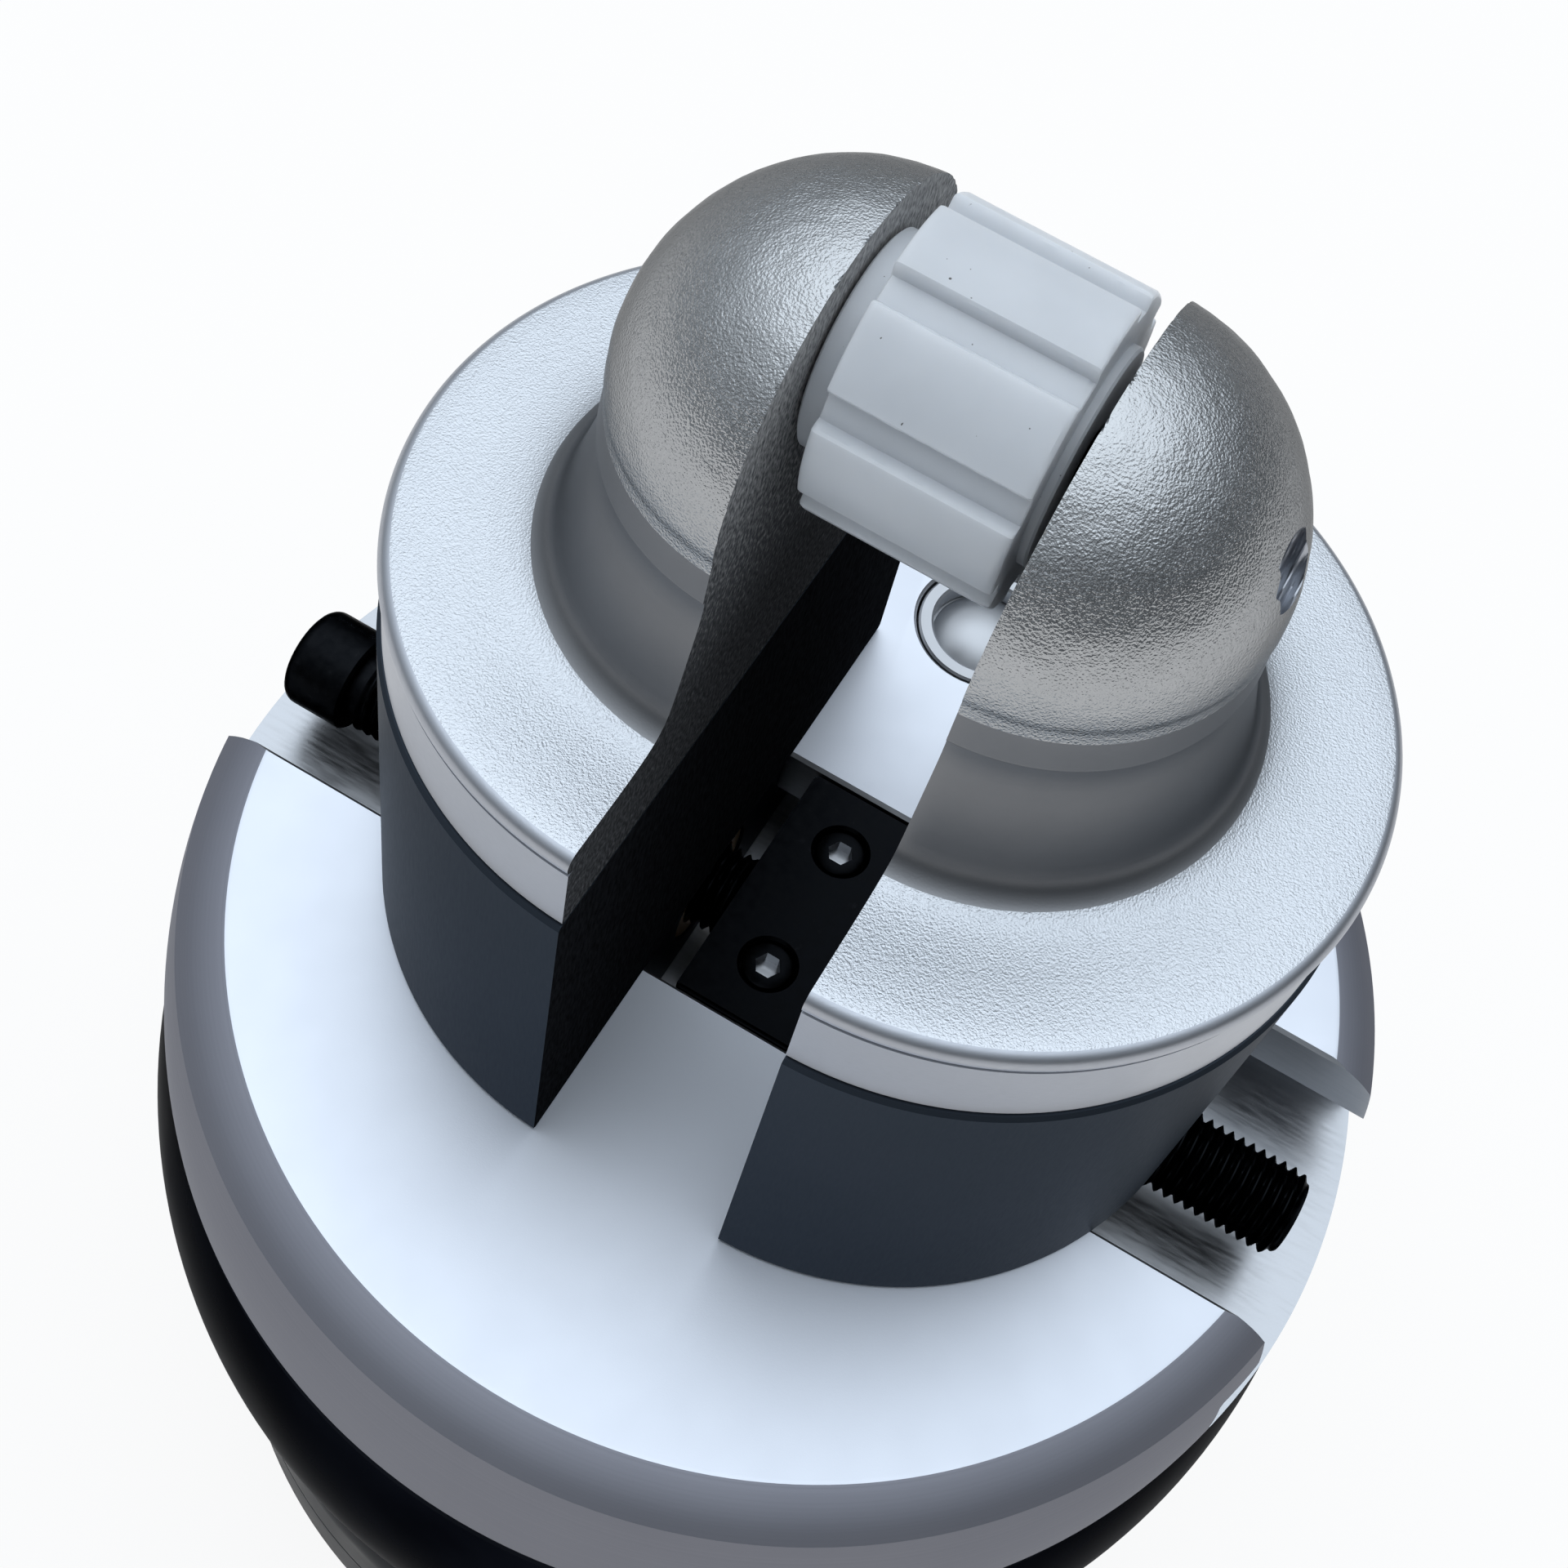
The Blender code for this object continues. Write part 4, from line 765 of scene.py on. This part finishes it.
pebbled, tree, shader = new_finish("pebbled_cast_aluminium", (0.42, 0.43, 0.44), 1.0, 0.25, 0.3)
pebbles = grain(tree, 0.22, 1)
tinted(tree, shader, grain(tree, 7.0, 4), [(0.3, (0.41, 0.42, 0.43)), (0.7, (0.43, 0.44, 0.45))])
ranged(tree, grain(tree, 3.0, 3), 0.23, 0.28, shader.inputs["Roughness"])
relief(tree, shader, (pebbles, 1.0, 0.085))
waist_finish, tree, shader = new_finish("smoother_cast_neck", (0.22, 0.225, 0.235), 1.0, 0.38, 0.45)
tinted(tree, shader, grain(tree, 8.0, 4), [(0.3, (0.21, 0.215, 0.225)), (0.7, (0.23, 0.235, 0.245))])
relief(tree, shader, (grain(tree, 0.2, 2), 0.35, 0.02))
flange_finish, tree, shader = new_finish("fine_blasted_aluminium", (0.58, 0.605, 0.64), 1.0, 0.42)
tinted(tree, shader, grain(tree, 12.0, 4), [(0.3, (0.57, 0.595, 0.63)), (0.7, (0.59, 0.615, 0.65))])
relief(tree, shader, (grain(tree, 0.2, 1), 1.0, 0.07))
band_finish, tree, shader = new_finish("smooth_turned_aluminium", (0.42, 0.44, 0.48), 1.0, 0.42)
band_lines = grain(tree, 0.18, 2, (1, 1, 1), from_axis(tree))
ranged(tree, band_lines, 0.38, 0.46, shader.inputs["Roughness"])
tinted(tree, shader, grain(tree, 9.0, 3), [(0.3, (0.41, 0.43, 0.47)), (0.7, (0.43, 0.45, 0.49))])
relief(tree, shader, (band_lines, 0.1, 0.008), (grain(tree, 0.25, 2), 0.1, 0.01))
sawn_face, tree, shader = new_finish("dark_sawn_face", (0.09, 0.09, 0.092), 0.0, 0.75)
shader.inputs["Specular IOR Level"].default_value = 0.0
saw_grain = grain(tree, 0.35, 4, (1, 1, 0.5))
# The sawn face's colour is its saw grain plus painted light and shade: a height ramp paints it lighter
# towards the top of the ball and darker down towards the flange.
upright_place = tree.nodes.new("ShaderNodeSeparateXYZ")
tree.links.new(tree.nodes.new("ShaderNodeTexCoord").outputs["Object"], upright_place.inputs["Vector"])
top_z = (head_z + head_r) * MM
painted_top_light = ranged(tree, upright_place.outputs["Z"], -0.15, 0.3, start=flange_top * MM, end=top_z)
saw_grain_and_painted_light = tree.nodes.new("ShaderNodeMath")
saw_grain_and_painted_light.operation = "ADD"
tree.links.new(saw_grain, saw_grain_and_painted_light.inputs[0])
tree.links.new(painted_top_light, saw_grain_and_painted_light.inputs[1])
sawn_tints = [(0.25, (0.05, 0.05, 0.052)), (0.5, (0.12, 0.12, 0.124)), (0.9, (0.5, 0.49, 0.48))]
tinted(tree, shader, saw_grain_and_painted_light.outputs["Value"], sawn_tints)
relief(tree, shader, (saw_grain, 0.5, 0.04))


def uneven(piece, middle_x):
    """Pushes the casting's ball in by a few hundredths, and nicks the sawn edge."""
    for vertex in piece.data.vertices:
        place = vertex.co / MM
        x, y, z = place
        out = Vector((x - middle_x, y, z - head_z))
        if z < head_z or out.length < 15:
            continue
        on_cut = abs(abs(x) - cut_x) < 0.01
        dip = 0.05 * (1 + noise.noise(place * 0.35)) + 0.03 * (1 + noise.noise(place * 1.1))
        if on_cut:
            dip += max(0, noise.noise(Vector((0, y, z)) * 1.3) - 0.15) * 0.5
            out.x = 0
        vertex.co -= out.normalized() * dip * MM
    return piece


for side, word in ((-1, "left"), (1, "right")):
    head = turned("split_head_" + word, head_profile, 240, centre=(side * axis_x, 0, 0))
    head = uneven(halved(head, side, 4), side * axis_x)
    pin_top = band_foot + 8.2
    pin_holes = []
    for y in (-pin_y, pin_y):
        pin_hole = [(0, band_foot - 1), (seat_pin_r, band_foot - 1), (seat_pin_r, pin_top), (0, pin_top)]
        pin_holes.append(turned("pin_hole", pin_hole, 24, centre=(side * pin_x, y, 0)))
    reshaped(head, joined(pin_holes))
    if side > 0:
        hole_rows = [(x / 8, tapped_hole_r, 1, 1) for x in range(56, 260)]
        tool = threaded("tool", hole_rows, small_pitch, small_depth, (0, 0, hole_z), 32)
    else:
        stud_hole = [(0, stud_hole_foot), (stud_hole_r, stud_hole_foot)]
        stud_hole += [(stud_hole_r, stud_hole_mouth), (0, stud_hole_mouth)]
        tool = turned("tool", stud_hole, 40, "X", (0, 0, hole_z))
    for face in tool.data.polygons:
        face.material_index = 3
    reshaped(head, tool)
    finished(head, pebbled, waist_finish, flange_finish, band_finish, sawn_face)
    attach(head, "jaw_" + word)
    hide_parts("head_" + word)

# ---------------------------------------------------------------------------
# Spool: milky nylon, milled with eight flat-topped pads and a shoulder disc at
# each end. It turns on a black M6 stud that is screwed into the left half of
# the head and reaches into the threaded hole of the right half.
stud_left, stud_right, stud_r, end_r = -17.5, 16.0, 2.75, 2.2
stud_rows = [(stud_left, end_r, 0, 1)]
stud_rows += [(stud_left + 0.1 + x / 8, stud_r, min(1, x / 8), 1) for x in range(0, 266)]
stud_rows += [(stud_right - 0.1, 2.4, 0, 1), (stud_right, end_r, 0, 1)]
stud = threaded("spool_stud_m6", stud_rows, small_pitch, small_depth, (0, 0, hole_z), 32)
finished(stud, black_oxide)
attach(stud, "jaw_left")
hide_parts("spool_stud")

pad_out, groove_r, core_r, pads = 13.2, 12.0, 9.1, 8
spool_hole_r, pad_edge, left_end, right_end, pads_left, pads_right = 3.05, 0.25, -10.2, 9.4, -7.7, 8.6
flank = [(-22.5, 0), (-20, 0), (-17.25, 0), (-16.6, 0.45), (-15.9, 0.82), (-15.0, 1)]
sector = flank + [(degrees, 1) for degrees in (-12, -9, -6, -3, 0)]
sector += [(-degrees, share) for degrees, share in sector[-2:0:-1]]
spool_rows = [(left_end, spool_hole_r, spool_hole_r), (left_end, 8.8, 8.8), (-10.0, core_r, core_r)]
spool_rows += [(pads_left, core_r, core_r), (pads_left, groove_r - 0.1, pad_out - pad_edge)]
spool_rows += [(-7.6, groove_r, pad_out - 0.1), (-7.35, groove_r, pad_out)]
spool_rows += [(-7.0 + 0.5 * index, groove_r, pad_out) for index in range(31)]
spool_rows += [(8.25, groove_r, pad_out), (8.5, groove_r, pad_out - 0.1)]
spool_rows += [(pads_right, groove_r - 0.1, pad_out - pad_edge), (pads_right, core_r, core_r)]
spool_rows += [(9.2, core_r, core_r), (right_end, 8.9, 8.9), (right_end, spool_hole_r, spool_hole_r)]
shell = bmesh.new()
loops = []
for x, inner, outer in spool_rows:
    loop = []
    for pad_number in range(pads):
        for degrees, share in sector:
            angle = radians(360 / pads * pad_number + degrees)
            radius = inner + (outer - inner) * share
            if outer - inner > 0.5 and 0 < share < 1 or outer > 12.9 and abs(x) > 8:
                burr = noise.noise(Vector((x * 1.7, radius * cos(angle) * 1.3, radius * sin(angle) * 1.3)))
                radius -= max(0, burr) * 0.28
            loop.append(shell.verts.new(Vector((x, radius * cos(angle), radius * sin(angle) + hole_z)) * MM))
    loops.append(loop)
for index, here in enumerate(loops):
    there = loops[(index + 1) % len(loops)]
    for column in range(len(here)):
        after = (column + 1) % len(here)
        shell.faces.new([here[column], here[after], there[after], there[column]])
spool = solid_of("ribbed_nylon_spool", shell, 24)
nylon, tree, shader = new_finish("milky_nylon", (0.62, 0.64, 0.67), 0.0, 0.36)
shader.inputs["Subsurface Weight"].default_value = 0.7
shader.inputs["Subsurface Radius"].default_value = (1.0, 0.95, 0.9)
shader.inputs["Subsurface Scale"].default_value = 0.004
shader.inputs["IOR"].default_value = 1.53
milky = grain(tree, 6.0, 3)
specks = grain(tree, 0.5, 0)
clean = tinted(tree, None, milky, [(0.3, (0.6, 0.62, 0.65)), (0.7, (0.64, 0.66, 0.69))])
dirt = tinted(tree, None, specks, [(0.115, (0.15, 0.14, 0.13)), (0.135, (1, 1, 1))])
mixed = tree.nodes.new("ShaderNodeMix")
mixed.data_type = "RGBA"
mixed.blend_type = "MULTIPLY"
mixed.inputs[0].default_value = 1.0
tree.links.new(clean, mixed.inputs[6])
tree.links.new(dirt, mixed.inputs[7])
tree.links.new(mixed.outputs[2], shader.inputs["Base Color"])
ranged(tree, grain(tree, 2.0, 3), 0.3, 0.44, shader.inputs["Roughness"])
relief(tree, shader, (grain(tree, 0.5, 3, (0.2, 1, 1)), 0.12, 0.02), (grain(tree, 2.5, 2), 0.08, 0.05))
finished(spool, nylon)
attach(spool, "spool")
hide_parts("nylon_spool")
